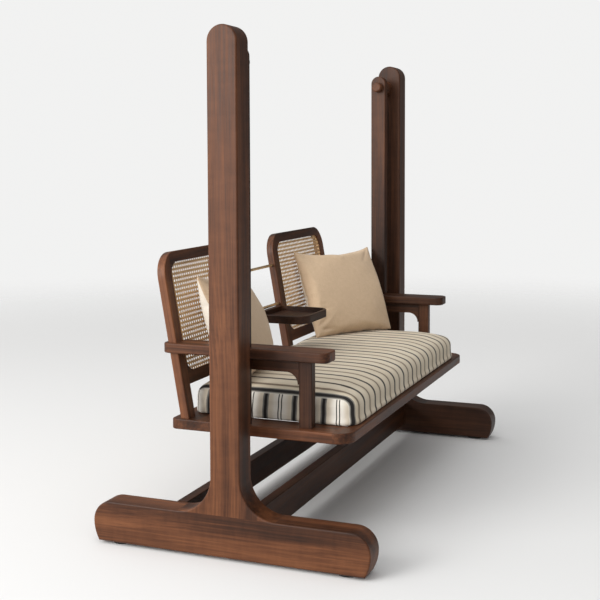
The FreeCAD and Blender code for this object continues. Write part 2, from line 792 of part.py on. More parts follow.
def make_rods_and_tray():
    """The two brass rods between the backs, and the tray with its bearer and screws."""
    reach = back_inner_x + rod_socket_depth
    for name, up in (("upper_brass_rod", upper_rod_height), ("lower_brass_rod", lower_rod_height)):
        centre = on_back(0, up, back_thickness / 2)
        parts[name] = rod_x(rod_diameter, -reach, reach, centre.y, centre.z)

    half = tray_half
    radii = [tray_front_radius] * 2 + [tray_rear_radius] * 2
    outline = rounded_outline(-half, half, tray_front_y, tray_rear_y, radii, tray_bottom_z)
    rim = plate(outline, tray_height)
    rim = rim.makeFillet(tray_arris, loop_edges(rim, V(0, 0, 1),
                                                [tray_bottom_z, tray_bottom_z + tray_height]))
    well = rounded_outline(-half + tray_wall, half - tray_wall, tray_front_y + tray_wall,
                           tray_rear_y - tray_wall, [radius - tray_wall for radius in radii],
                           tray_bottom_z - overrun)
    rim = rim.cut(plate(well, tray_height + overrun * 2))
    inset = tray_wall - tray_groove
    floor_z = tray_bottom_z + tray_arris
    base = plate(rounded_outline(-half + inset, half - inset, tray_front_y + inset,
                                 tray_rear_y - inset, [radius - inset for radius in radii],
                                 floor_z), tray_floor)
    rim = rim.cut(base)

    bearer = box(-back_inner_x, back_inner_x, tray_rear_y, tray_rear_y + bearer_depth,
                 tray_bottom_z, tray_bottom_z + bearer_height)
    screws = []
    for index in range(tray_screw_count):
        x = tray_screw_spacing * (index - (tray_screw_count - 1) / 2)
        screw = rod_y(tray_screw_diameter, x, tray_rear_y + bearer_depth - tray_screw_length,
                      tray_rear_y + bearer_depth, floor_z + tray_floor / 2)
        rim = rim.cut(screw)
        base = base.cut(screw)
        bearer = bearer.cut(screw)
        screws.append(screw)
    parts["tray_rim"] = rim
    parts["tray_base"] = base
    parts["tray_bearer"] = bearer
    group("tray_screws", screws)


def make_arms():
    """Armrests, the aprons under them, the front arm posts and their dowels."""
    outline = rounded_outline(armrest_inner_x, arm_outer_x, armrest_front_y, armrest_rear_y,
                              [armrest_corner_radius] * 4, armrest_bottom_z)
    armrest = plate(outline, armrest_thickness)
    armrest = armrest.makeFillet(armrest_arris, loop_edges(armrest, V(0, 0, 1),
                                                           [armrest_bottom_z, armrest_top_z]))
    stile = outer_stile_block(back_height / 2 + apron_depth)
    behind_cane = lean(box(0, back_outer_x - stile_width, 0, back_height, -foot_length,
                           back_thickness - cane_setback + soft_clearance))
    armrest = armrest.cut(hanger_block()).cut(stile).cut(behind_cane)
    for y, z in hanger_bolt_places():
        armrest = armrest.cut(hanger_bolt(y, z)[0])

    x = apron_inner_x
    low, high = apron_bottom_z, armrest_bottom_z
    rear = pivot_y + arm_half
    toe_y = arm_post_rear_y + apron_bracket_toe
    toe_z = low - apron_bracket_radius
    reach = apron_bracket_radius * (1 - math.sqrt(2) / 2)
    outline = Part.Wire([
        line(V(x, arm_post_rear_y, high), V(x, rear, high)),
        line(V(x, rear, high), V(x, rear, low)),
        line(V(x, rear, low), V(x, toe_y + apron_bracket_radius, low)),
        arc(V(x, toe_y + apron_bracket_radius, low), V(x, toe_y + reach, low - reach),
            V(x, toe_y, toe_z)),
        line(V(x, toe_y, toe_z), V(x, arm_post_rear_y, toe_z)),
        line(V(x, arm_post_rear_y, toe_z), V(x, arm_post_rear_y, high)),
    ])
    apron = Part.Face(outline).extrude(V(apron_thickness, 0, 0))

    post = box(apron_inner_x, arm_inner_x, arm_post_front_y, arm_post_rear_y, platform_top_z,
               armrest_bottom_z)
    post = post.makeFillet(arm_post_arris, edges_along(post, V(0, 0, 1), arm_post_width))
    middle_x = (apron_inner_x + arm_inner_x) / 2
    middle_y = (arm_post_front_y + arm_post_rear_y) / 2
    dowels = []
    for y in (middle_y - dowel_spacing / 2, middle_y + dowel_spacing / 2):
        for z in (platform_top_z, armrest_bottom_z):
            dowels.append(rod_z(dowel_diameter, middle_x, y, z - dowel_length / 2,
                                z + dowel_length / 2))
    for dowel in dowels:
        post = post.cut(dowel)
        armrest = armrest.cut(dowel)
        for side in ("left", "right"):
            rail = parts[side + "_platform_end_rail"]
            tool = dowel if side == "right" else mirrored(dowel)
            parts[side + "_platform_end_rail"] = rail.cut(tool)
    both_ends("armrest", armrest)
    both_ends("armrest_apron", apron)
    both_ends("arm_post", post)
    group("arm_post_dowels", sum([pair(dowel) for dowel in dowels], []))


def bowed_outline(half_x, half_y, radii, bow_x, bow_y_low, bow_y_high, z):
    """A rounded rectangle about the Z axis whose four sides are drawn in between the corners."""
    east, north = V(1, 0, 0), V(0, 1, 0)
    corners = [
        (V(-half_x, -half_y, z), north, east, V(0, bow_y_low, 0)),
        (V(half_x, -half_y, z), -east, north, V(-bow_x, 0, 0)),
        (V(half_x, half_y, z), -north, -east, V(0, -bow_y_high, 0)),
        (V(-half_x, half_y, z), east, -north, V(bow_x, 0, 0)),
    ]
    arcs = [fillet_arc(*corner[:3], radius) for corner, radius in zip(corners, radii)]
    edges = []
    for index, (a, middle, b) in enumerate(arcs):
        edges.append(arc(a, middle, b))
        following = arcs[(index + 1) % len(arcs)][0]
        edges.append(arc(b, (b + following) / 2 + corners[index][3], following))
    return Part.Wire(edges)


def make_cushion():
    """The seat cushion, crowned on top, rounded at its edges and let in round the stiles."""
    # Height above its underside, and how far the outline stands in there, both as shares of
    # the cushion's thickness.
    form_shares = [(0, 0.2), (0.07, 0.09), (0.2, 0.015), (0.4, 0), (0.62, 0), (0.78, 0.03),
                   (0.875, 0.11), (0.94, 0.34), (0.98, 0.8), (1, 1.5)]
    half_x = cushion_half
    half_y = (cushion_rear_y - cushion_front_y) / 2
    middle_y = (cushion_rear_y + cushion_front_y) / 2
    wires = []
    for height_share, inset_share in form_shares:
        inset = cushion_thickness * inset_share
        keep_share = 1 - inset / (half_y * 2)
        radii = ([cushion_front_radius * keep_share] * 2
                 + [cushion_rear_radius * keep_share] * 2)
        wires.append(bowed_outline(half_x - inset, half_y - inset, radii, cushion_side_bow,
                                   cushion_side_bow, cushion_side_bow,
                                   cushion_thickness * height_share))
    cushion = Part.makeLoft(wires, True, True)
    cushion.translate(V(0, middle_y, cushion_bottom_z))
    clear = cushion_stile_clearance
    notch = box(back_inner_x - clear, back_inner_x + stile_width + clear, -overrun * 2,
                back_height, -overrun * 2, back_thickness + clear)
    for tool in pair(lean(notch)):
        cushion = cushion.cut(tool)
    parts["seat_cushion"] = cushion


def pillow(x, y, half_thickness, turn_deg, lean_deg, settle):
    """A scatter pillow standing on the cushion, plump in the middle and thin at its seam."""
    # Distance from the seam's plane as a share of the half thickness, and how far the outline
    # stands in there as a share of half the height.
    form_shares = [(0, 0), (0.3, 0.03), (0.6, 0.13), (0.84, 0.34), (0.96, 0.6), (1, 0.84)]
    half_width = pillow_width / 2
    half_height = pillow_height / 2
    sections = [(-out, inset) for out, inset in reversed(form_shares[1:])] + form_shares
    wires = []
    for out_share, inset_share in sections:
        inset = half_height * inset_share
        radius = pillow_corner_radius + inset * pillow_round_share
        keep_share = 1 - inset_share
        wires.append(bowed_outline(half_width - inset, half_height - inset, [radius] * 4,
                                   pillow_side_bow * keep_share, pillow_foot_bow * keep_share,
                                   pillow_side_bow * keep_share,
                                   half_thickness * out_share))
    solid = Part.makeLoft(wires, True, True)
    solid.translate(V(0, half_height, 0))
    solid.rotate(V(0, 0, 0), V(1, 0, 0), 90 - lean_deg)
    solid.rotate(V(0, 0, 0), V(0, 0, 1), turn_deg)
    # A leaning pillow rests on the swell behind its seam, which lifts the seam a little, and
    # its bowed foot settles on the crown of the cushion.
    sine, cosine = math.sin(math.radians(lean_deg)), math.cos(math.radians(lean_deg))
    lift = max(half_thickness * out * sine - half_height * inset * cosine
               for out, inset in form_shares)
    solid.translate(V(x, y, pillow_bottom_z + lift - settle))
    return solid


def make_pillows():
    """The two scatter pillows."""
    parts["left_pillow"] = pillow(left_pillow_end_gap - cushion_half,
                                  cushion_rear_y - left_pillow_rear_gap,
                                  left_pillow_half_thickness, left_pillow_turn_deg,
                                  left_pillow_lean_deg, left_pillow_settle)
    parts["right_pillow"] = pillow(cushion_half - right_pillow_end_gap,
                                   cushion_rear_y - right_pillow_rear_gap,
                                   right_pillow_half_thickness, right_pillow_turn_deg,
                                   right_pillow_lean_deg, right_pillow_settle)


def write_parts():
    """Write one STEP file for each node, and print what each one holds."""
    os.makedirs("parts", exist_ok=True)
    for name in sorted(parts):
        shape = parts[name]
        if not shape.isValid():
            print("not valid:", name)
        if len(shape.Solids) == 1:
            shape = shape.Solids[0]
        shape.exportStep("parts/" + name + ".step")
        volume = sum(solid.Volume for solid in shape.Solids)
        print("{:26s} {:3d} solids {:14.0f} mm3".format(name, len(shape.Solids), volume))
    print("nodes:", len(parts))


make_end_frames()
make_stretchers()
make_pivots()
make_hanger_arms()
make_platform()
make_backs()
make_rods_and_tray()
make_arms()
make_cushion()
make_pillows()
write_parts()
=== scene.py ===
"""Looks of a two-seat bench swing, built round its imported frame.

The wooden pieces keep their own solids and get oiled wood with the grain along each piece.
The cane, the seat cushion and the two scatter pillows are modelled here. Metres throughout:
X runs along the seat, -Y is the front and +Z is up.
"""

import logging
import math
from dataclasses import dataclass
from enum import Enum
from typing import Callable, Optional, Sequence, Union

import bpy
from mathutils import Matrix, Vector


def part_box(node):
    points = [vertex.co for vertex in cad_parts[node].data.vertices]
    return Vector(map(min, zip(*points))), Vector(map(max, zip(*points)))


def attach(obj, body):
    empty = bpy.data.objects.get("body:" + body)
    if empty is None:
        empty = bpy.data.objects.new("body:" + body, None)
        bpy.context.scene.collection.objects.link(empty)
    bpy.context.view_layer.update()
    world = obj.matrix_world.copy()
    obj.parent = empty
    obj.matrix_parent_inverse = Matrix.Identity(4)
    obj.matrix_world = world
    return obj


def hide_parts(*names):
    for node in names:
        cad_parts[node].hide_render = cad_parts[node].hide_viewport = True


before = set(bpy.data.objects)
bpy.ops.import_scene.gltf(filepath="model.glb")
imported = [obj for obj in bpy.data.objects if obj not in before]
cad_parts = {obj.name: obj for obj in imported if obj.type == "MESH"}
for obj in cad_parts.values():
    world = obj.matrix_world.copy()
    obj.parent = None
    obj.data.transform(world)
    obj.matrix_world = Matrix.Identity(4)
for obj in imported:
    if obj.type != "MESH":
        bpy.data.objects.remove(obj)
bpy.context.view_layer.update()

LOG = logging.getLogger("bench_swing")
MM = 0.001
SIDES = ("left", "right")
Triple = tuple[float, float, float]
Colour = Triple
Pair = tuple[float, float]
Socket = bpy.types.NodeSocket
Value = Union[bpy.types.NodeSocket, float, Sequence[float]]
Piece = bpy.types.Object
EVEN: Triple = (1.0, 1.0, 1.0)
NOTHING: Triple = (0.0, 0.0, 0.0)


class Body(Enum):
    """The two bodies that pieces ride on."""

    STAND = "stand"
    SEAT = "seat"


class Slot(Enum):
    """The finishes that the record names."""

    WALNUT = "walnut"
    CANE = "cane"
    BRASS = "brass"
    STEEL = "steel"
    RUBBER = "rubber"
    COTTON = "striped_cotton"
    LINEN = "linen"


class Grain(Enum):
    """Which way the grain of a wooden piece runs, as the turn that brings it upright."""

    UPRIGHT = (0.0, 0.0, 0.0)
    ALONG_SEAT = (0.0, -90.0, 0.0)
    FRONT_TO_BACK = (90.0, 0.0, 0.0)
    UP_THE_BACK = (10.0, 0.0, 0.0)


def rgba(colour: Colour) -> tuple[float, float, float, float]:
    """Return a colour, opaque."""
    return (*colour, 1.0)


@dataclass(frozen=True)
class Noise:
    """A noise: how fine it is, its layers and their strength, its swirl and its stretch."""

    scale: float
    layers: float = 2.0
    strength: float = 0.5
    swirl: float = 0.0
    stretch: Triple = EVEN


@dataclass(frozen=True)
class Stripe:
    """A woven line: half its width, its soft edge, its colour and how strong it is."""

    half: float
    soft: float
    colour: Colour
    strength: float = 1.0


class NodeBench:
    """The node tree of a new material or world, with short calls for common nodes."""

    def __init__(self, owner: Union[bpy.types.Material, bpy.types.World]) -> None:
        """Open the node tree.

        Args:
            owner: The new material or world.
        """
        owner.use_nodes = True
        self.owner = owner
        self.nodes = owner.node_tree.nodes
        self.links = owner.node_tree.links

    def add(self, kind: str, inputs: Optional[dict] = None,
            **settings: object) -> bpy.types.Node:
        """Add a node.

        Args:
            kind: The node's type, without its leading ShaderNode.
            inputs: What goes into its sockets, by name or number: a socket or a value.
            settings: The node's own settings.

        Returns:
            The new node.
        """
        node = self.nodes.new("ShaderNode" + kind)
        for name, value in settings.items():
            setattr(node, name, value)
        for key, value in (inputs or {}).items():
            self.feed(node.inputs[key], value)
        return node

    def feed(self, socket: Socket, value: Value) -> None:
        """Link an input, or set its value, with colours opaque.

        Args:
            socket: The input.
            value: An output or a plain value.
        """
        if isinstance(value, Socket):
            self.links.new(value, socket)
        elif socket.type == "RGBA":
            socket.default_value = rgba(value)
        else:
            socket.default_value = value

    def place(self) -> Socket:
        """Return the piece's own coordinates."""
        return self.add("TexCoord").outputs["Object"]

    def mapped(self, vector: Socket, turn: Triple = NOTHING, stretch: Triple = EVEN,
               shift: Triple = NOTHING) -> Socket:
        """Return coordinates turned by degrees, stretched and shifted along each axis."""
        inputs = {"Vector": vector, "Rotation": tuple(math.radians(angle) for angle in turn),
                  "Scale": stretch, "Location": shift}
        return self.add("Mapping", inputs).outputs["Vector"]

    def noise(self, vector: Socket, kind: Noise) -> Socket:
        """Return a noise value between 0 and 1.

        Args:
            vector: The coordinates.
            kind: The noise.

        Returns:
            The noise's value.
        """
        if kind.stretch != EVEN:
            vector = self.mapped(vector, stretch=kind.stretch)
        inputs = {"Vector": vector, "Scale": kind.scale, "Detail": kind.layers,
                  "Roughness": kind.strength, "Distortion": kind.swirl}
        return self.add("TexNoise", inputs).outputs[0]

    def math(self, operation: str, *values: Value) -> Socket:
        """Return the result of the Math node's operation on some values."""
        return self.add("Math", dict(enumerate(values)), operation=operation).outputs[0]

    def weighed(self, *parts: tuple[Socket, float], start: float = 0.0) -> Socket:
        """Add up values, each times its weight.

        Args:
            parts: Pairs of a value and its weight.
            start: A number to start from.

        Returns:
            The sum.
        """
        total: Value = start
        for value, weight in parts:
            total = self.math("MULTIPLY_ADD", value, weight, total)
        return total

    def between(self, value: Socket, span: Pair, result: Pair = (0.0, 1.0),
                kind: str = "SMOOTHSTEP") -> Socket:
        """Turn one span of a value into another, and hold the result at both ends."""
        inputs = {"Value": value, "From Min": span[0], "From Max": span[1],
                  "To Min": result[0], "To Max": result[1]}
        return self.add("MapRange", inputs, interpolation_type=kind).outputs[0]

    def mix(self, share: Value, first: Value, second: Value, blend: str = "MIX") -> Socket:
        """Return two colours mixed, by the share of the second from 0 to 1."""
        inputs = {0: share, 6: first, 7: second}
        return self.add("Mix", inputs, data_type="RGBA", blend_type=blend).outputs[2]

    def ramp(self, value: Socket, stops: Sequence[tuple[float, Colour]]) -> Socket:
        """Colour a value by a ramp.

        Args:
            value: The value between 0 and 1.
            stops: Places on the ramp with their colours.

        Returns:
            The colour.
        """
        node = self.add("ValToRGB", {"Fac": value})
        elements = node.color_ramp.elements
        while len(elements) < len(stops):
            elements.new(1.0)
        for element, (place, colour) in zip(elements, stops):
            element.position = place
            element.color = rgba(colour)
        return node.outputs["Color"]

    def distance(self, value: Socket, start: float) -> Socket:
        """Return how far a value is from a number."""
        return self.math("ABSOLUTE", self.math("SUBTRACT", value, start))

    def repeat(self, value: Socket, pitch: float, start: float) -> Socket:
        """Return the distance to the nearest of a row of lines, from their pitch and start."""
        share = self.math("SUBTRACT", value, start - pitch / 2)
        return self.distance(self.math("WRAP", share, pitch, 0.0), pitch / 2)

    def paint(self, ground: Value, distance: Socket, stripe: Stripe, thin: Value = 1.0) -> Socket:
        """Lay a stripe over a colour.

        Args:
            ground: The colour under it.
            distance: The distance from the stripe's middle.
            stripe: The stripe.
            thin: A factor on its strength.

        Returns:
            The striped colour.
        """
        edge = (stripe.half - stripe.soft / 2, stripe.half + stripe.soft / 2)
        share = self.between(distance, edge, (stripe.strength, 0.0))
        return self.mix(self.math("MULTIPLY", share, thin), ground, stripe.colour)

    def relief(self, height: Socket, strength: float, distance: float) -> Socket:
        """Return the normal of a height, whose value of 1 stands for a distance in metres."""
        inputs = {"Height": height, "Strength": strength, "Distance": distance}
        return self.add("Bump", inputs).outputs["Normal"]


class MaterialBench(NodeBench):
    """The node tree of a new material round its Principled shader."""

    def __init__(self, name: str) -> None:
        """Start the material by its name."""
        super().__init__(bpy.data.materials.new(name))
        self.shader = self.nodes["Principled BSDF"]

    def finish(self, colour: Value, roughness: Value, normal: Optional[Socket] = None,
               **numbers: float) -> bpy.types.Material:
        """Set the shader.

        Args:
            colour: The base colour or its socket.
            roughness: The roughness or its socket.
            normal: The normal, if the surface has a bump.
            numbers: Other sockets of the shader, with _ for a space, and their values.

        Returns:
            The finished material.
        """
        sockets = {socket.name.lower().replace(" ", "_"): socket for socket in self.shader.inputs}
        self.feed(sockets["base_color"], colour)
        self.feed(sockets["roughness"], roughness)
        if normal is not None:
            self.feed(sockets["normal"], normal)
        for name, value in numbers.items():
            sockets[name].default_value = value
        return self.owner


@dataclass(frozen=True)
class OiledWood:
    """Dark oiled wood with long streaks, a flowing figure, pores and a satin sheen.

    The shift says which part of the board a piece was cut from, and the glow how strongly light
    patches come and go. The painted shading is a factor on all the colours that paints light and
    shade in: lighter on pieces that the light reaches, darker on pieces in shade. A relief is a
    bump's strength and its height, here and in the finishes below.
    """

    name: str
    grain: Grain
    shift: Triple
    glow: float
    # A factor on all colours that paints light and shade in: above 1 lit, below 1 shaded.
    painted_shading: float
    stops: tuple[tuple[float, Colour], ...] = (
        (0.30, (0.019, 0.0068, 0.0030)), (0.43, (0.055, 0.0190, 0.0078)),
        (0.55, (0.112, 0.0400, 0.0165)), (0.72, (0.200, 0.0760, 0.0310)),
    )
    sway: Noise = Noise(2.2, stretch=(1.0, 1.0, 0.35))
    sway_across: float = 0.09
    sway_deep: float = 0.06
    figure: Noise = Noise(15.0, 4.0, 0.58, 0.35, (1.0, 1.0, 0.055))
    streak: Noise = Noise(120.0, 3.0, 0.6, stretch=(1.0, 1.0, 0.018))
    patch: Noise = Noise(5.5, 3.0, 0.55, stretch=(1.0, 1.0, 0.3))
    ripple: Noise = Noise(26.0, stretch=(0.5, 0.5, 1.6))
    pore: Noise = Noise(560.0, stretch=(1.0, 1.0, 0.014))
    figure_share: float = 0.62
    streak_share: float = 0.38
    ripple_share: float = 0.10
    pore_span: Pair = (0.60, 0.72)
    pore_share: float = 0.42
    streak_span: Pair = (0.2, 0.8)
    roughness: Pair = (0.40, 0.52)
    streak_rise: float = 0.5
    pore_rise: float = -0.6
    relief: Pair = (0.22, 0.6 * MM)
    specular: float = 0.24

    def with_painted_shading(self, colour: Colour) -> Colour:
        """Return a colour with this piece's painted light or shade laid on."""
        red, green, blue = (part * self.painted_shading for part in colour)
        return (red, green, blue)

    def material(self) -> bpy.types.Material:
        """Return the material."""
        bench = MaterialBench(self.name)
        upright = bench.mapped(bench.place(), turn=self.grain.value, shift=self.shift)
        sway = bench.noise(upright, self.sway)
        drift = bench.add("CombineXYZ", {0: bench.math("MULTIPLY", sway, self.sway_across),
                                         1: bench.math("MULTIPLY", sway, self.sway_deep)})
        board = bench.add("VectorMath", {0: upright, 1: drift.outputs[0]},
                          operation="ADD").outputs[0]
        streak = bench.noise(board, self.streak)
        middle = -(self.glow + self.ripple_share) / 2
        body = bench.weighed((bench.noise(board, self.figure), self.figure_share),
                             (streak, self.streak_share),
                             (bench.noise(upright, self.patch), self.glow),
                             (bench.noise(upright, self.ripple), self.ripple_share),
                             start=middle)
        # The ramp's colours and the pores carry the piece's painted light or shade.
        colour = bench.ramp(body, [(place, self.with_painted_shading(tint)) for place, tint in self.stops])
        pores = bench.between(bench.noise(board, self.pore), self.pore_span)
        _, deep = self.stops[0]
        colour = bench.mix(bench.math("MULTIPLY", pores, self.pore_share), colour,
                           self.with_painted_shading(deep))
        roughness = bench.between(streak, self.streak_span, self.roughness)
        height = bench.weighed((streak, self.streak_rise), (pores, self.pore_rise))
        return bench.finish(colour, roughness, bench.relief(height, *self.relief),
                            specular_ior_level=self.specular)


@dataclass(frozen=True)
class NaturalCane:
    """Shiny straw-coloured cane, darker in places, with fine lines along its surface."""

    name: str = "natural_cane"
    stops: tuple[tuple[float, Colour], ...] = (
        (0.30, (0.44, 0.24, 0.098)), (0.47, (0.66, 0.42, 0.20)), (0.66, (0.80, 0.56, 0.31)),
    )
    patch: Noise = Noise(9.0, 3.0, 0.6)
    fleck: Noise = Noise(240.0, 3.0, 0.65)
    patch_share: float = 0.5
    fleck_share: float = 0.32
    strand_share: float = 0.18
    smoothest: float = 0.32
    fleck_roughness: float = 0.2
    relief: Pair = (0.25, 0.3 * MM)
    specular: float = 0.5

    def material(self) -> bpy.types.Material:
        """Return the material."""
        bench = MaterialBench(self.name)
        place = bench.place()
        fleck = bench.noise(place, self.fleck)
        strand = bench.add("NewGeometry").outputs["Random Per Island"]
        body = bench.weighed((bench.noise(place, self.patch), self.patch_share),
                             (fleck, self.fleck_share), (strand, self.strand_share))
        roughness = bench.weighed((fleck, self.fleck_roughness), start=self.smoothest)
        return bench.finish(bench.ramp(body, self.stops), roughness,
                            bench.relief(fleck, *self.relief), specular_ior_level=self.specular)


@dataclass(frozen=True)
class SolidMetal:
    """A satin metal, with faint lines and dull patches where hands have touched it."""

    name: str
    colour: Colour
    tarnish: Colour
    smoothest: float
    dull: Noise = Noise(26.0, 4.0, 0.6)
    lines: Noise = Noise(900.0, stretch=(0.06, 1.0, 1.0))
    dull_span: Pair = (0.42, 0.75)
    dull_roughness: float = 0.16
    relief: Pair = (0.10, 0.1 * MM)

    def material(self) -> bpy.types.Material:
        """Return the material."""
        bench = MaterialBench(self.name)
        place = bench.place()
        dull = bench.noise(place, self.dull)
        colour = bench.mix(bench.between(dull, self.dull_span), self.colour, self.tarnish)
        roughness = bench.weighed((dull, self.dull_roughness), start=self.smoothest)
        normal = bench.relief(bench.noise(place, self.lines), *self.relief)
        return bench.finish(colour, roughness, normal, metallic=1.0)


@dataclass(frozen=True)
class BlackRubber:
    """Matt black rubber with a grain like fine sand."""

    name: str = "black_rubber"
    dark: Colour = (0.010, 0.010, 0.010)
    worn: Colour = (0.028, 0.027, 0.026)
    sand: Noise = Noise(700.0, 3.0, 0.6)
    roughness: float = 0.82
    relief: Pair = (0.4, 0.2 * MM)

    def material(self) -> bpy.types.Material:
        """Return the material."""
        bench = MaterialBench(self.name)
        sand = bench.noise(bench.place(), self.sand)
        colour = bench.mix(sand, self.dark, self.worn)
        return bench.finish(colour, self.roughness, bench.relief(sand, *self.relief))


@dataclass(frozen=True)
class StripedCotton:
    """Cream cotton: fine dark and taupe stripes on top, ticking stripes on the ends."""

    end_x: float
    rear_y: float
    top_z: float
    name: str = "striped_cotton"
    cream: Colour = (0.78, 0.695, 0.555)
    white: Colour = (0.80, 0.765, 0.70)
    sand: Colour = (0.60, 0.50, 0.36)
    ink: Colour = (0.016, 0.014, 0.014)
    taupe: Colour = (0.165, 0.120, 0.078)
    grey: Colour = (0.125, 0.125, 0.125)
    top_pitch: float = 125.5 * MM
    top_start: float = 26.0 * MM
    top_shade: Stripe = Stripe(18.8 * MM, 12.5 * MM, sand, 0.35)
    top_taupe: Stripe = Stripe(6.6 * MM, 3.0 * MM, taupe)
    top_halo: Stripe = Stripe(9.1 * MM, 3.6 * MM, taupe, 0.6)
    top_dark: Stripe = Stripe(6.7 * MM, 2.0 * MM, (0.020, 0.014, 0.010))
    end_pitch: float = 110.5 * MM
    end_start: float = -33.0 * MM
    end_tint: Stripe = Stripe(29.8 * MM, 24.3 * MM, (0.62, 0.53, 0.40), 0.7)
    end_flank: Stripe = Stripe(10.8 * MM, 3.0 * MM, grey, 0.9)
    end_core: Stripe = Stripe(5.4 * MM, 3.0 * MM, ink)
    end_pair: Stripe = Stripe(2.1 * MM, 1.4 * MM, ink)
    pair_offset: float = 5.8 * MM
    border_inset: float = 22.0 * MM
    border_rim: Stripe = Stripe(10.3 * MM, 4.0 * MM, grey, 0.8)
    border: Stripe = Stripe(5.8 * MM, 2.4 * MM, ink)
    seam: Stripe = Stripe(1.2 * MM, 1.6 * MM, white, 0.55)
    seam_inset: float = 12.5 * MM
    rear_corner: float = 42.0 * MM
    rear_drop: float = 16.0 * MM
    panel_span: Pair = (-0.6 * MM, 0.6 * MM)
    thread_scale: float = 310.0
    thread_swirl: float = 1.2
    wander: Noise = Noise(7.0)
    wander_reach: float = 2.0 * MM
    fuzz: Noise = Noise(900.0, 3.0, 0.7)
    cloud: Noise = Noise(6.0, 3.0, 0.55)
    cloud_span: Pair = (0.25, 0.8)
    cloud_share: float = 0.4
    fray_span: Pair = (0.35, 0.65)
    unfrayed: Pair = (1.0, 0.75)
    weave_shade: float = 0.16
    smoothest: float = 0.80
    fuzz_roughness: float = 0.10
    weave_rise: float = 0.7
    fuzz_rise: float = 0.3
    relief: Pair = (0.30, 0.5 * MM)

    def threads(self, bench: NodeBench, place: Socket, direction: str) -> Socket:
        """Return the height of fine threads, 0 to 1, by the axis across them."""
        inputs = {"Vector": place, "Scale": self.thread_scale, "Distortion": self.thread_swirl,
                  "Detail": 2.0, "Detail Scale": 2.0}
        return bench.add("TexWave", inputs, wave_type="BANDS",
                         bands_direction=direction).outputs["Fac"]

    def top_colour(self, bench: NodeBench, across: Socket, cloud: Socket, fuzz: Socket) -> Socket:
        """Return the colour of the top and front: lines from back to front.

        Args:
            bench: The node tree.
            across: The place along the seat.
            cloud: Soft patches.
            fuzz: Fine fibres.

        Returns:
            The colour.
        """
        dark = bench.repeat(across, self.top_pitch, self.top_start)
        middle = bench.repeat(across, self.top_pitch, self.top_start + self.top_pitch / 2)
        cloudy = bench.between(cloud, self.cloud_span, (0.0, self.cloud_share))
        frayed = bench.between(fuzz, self.fray_span, self.unfrayed)
        border = bench.distance(bench.math("ABSOLUTE", across), self.end_x - self.border_inset)
        top = bench.mix(cloudy, self.cream, self.sand)
        for distance, stripe, thin in (
                (middle, self.top_shade, 1.0), (middle, self.top_taupe, frayed),
                (dark, self.top_halo, 1.0), (dark, self.top_dark, 1.0),
                (border, self.border_rim, 1.0), (border, self.border, 1.0)):
            top = bench.paint(top, distance, stripe, thin)
        return top

    def end_colour(self, bench: NodeBench, along: Socket) -> Socket:
        """Return the colour of the boxed ends: lines up and down.

        Args:
            bench: The node tree.
            along: The place from front to back.

        Returns:
            The colour.
        """
        thick = bench.repeat(along, self.end_pitch, self.end_start)
        middle = bench.repeat(along, self.end_pitch, self.end_start + self.end_pitch / 2)
        pair = bench.distance(middle, self.pair_offset)
        end: Value = self.white
        for distance, stripe in ((thick, self.end_tint), (thick, self.end_flank),
                                 (thick, self.end_core), (pair, self.end_pair)):
            end = bench.paint(end, distance, stripe)
        return end

    def boxing_inset(self, bench: NodeBench, x: Socket, y: Socket, z: Socket) -> Socket:
        """Return how far a point lies inside the boxed ends, and negative outside them.

        Args:
            bench: The node tree.
            x: Its place along the seat.
            y: Its place from front to back.
            z: Its height.

        Returns:
            The distance in metres from the seam.
        """
        out = bench.math("ABSOLUTE", x)
        end = bench.math("SUBTRACT", out, self.end_x - self.seam_inset)
        behind = bench.math("SUBTRACT", y, self.rear_y - self.rear_corner)
        below = bench.math("SUBTRACT", self.top_z - self.rear_drop, z)
        corner = bench.math("SUBTRACT", out, self.end_x - self.rear_corner)
        corner = bench.math("MINIMUM", bench.math("MINIMUM", behind, below), corner)
        return bench.math("MAXIMUM", end, corner)

    def material(self) -> bpy.types.Material:
        """Return the material."""
        bench = MaterialBench(self.name)
        place = bench.place()
        laid = bench.add("Attribute", attribute_name="cover").outputs["Vector"]
        wander = bench.weighed((bench.noise(laid, self.wander), self.wander_reach),
                               start=-self.wander_reach / 2)
        x, y, z = bench.add("SeparateXYZ", {0: laid}).outputs
        fuzz = bench.noise(place, self.fuzz)
        top = self.top_colour(bench, bench.math("ADD", x, wander),
                              bench.noise(place, self.cloud), fuzz)
        end = self.end_colour(bench, bench.math("ADD", y, wander))
        inset = self.boxing_inset(bench, x, y, z)
        colour = bench.mix(bench.between(inset, self.panel_span), top, end)
        colour = bench.paint(colour, bench.math("ABSOLUTE", inset), self.seam)
        weave = bench.weighed((self.threads(bench, place, "X"), 0.5),
                              (self.threads(bench, place, "Y"), 0.5))
        colour = bench.mix(bench.math("MULTIPLY", weave, self.weave_shade), colour, self.sand,
                           "MULTIPLY")
        roughness = bench.weighed((fuzz, self.fuzz_roughness), start=self.smoothest)
        height = bench.weighed((weave, self.weave_rise), (fuzz, self.fuzz_rise))
        return bench.finish(colour, roughness, bench.relief(height, *self.relief),
                            specular_ior_level=0.25, sheen_weight=0.15, sheen_roughness=0.5)


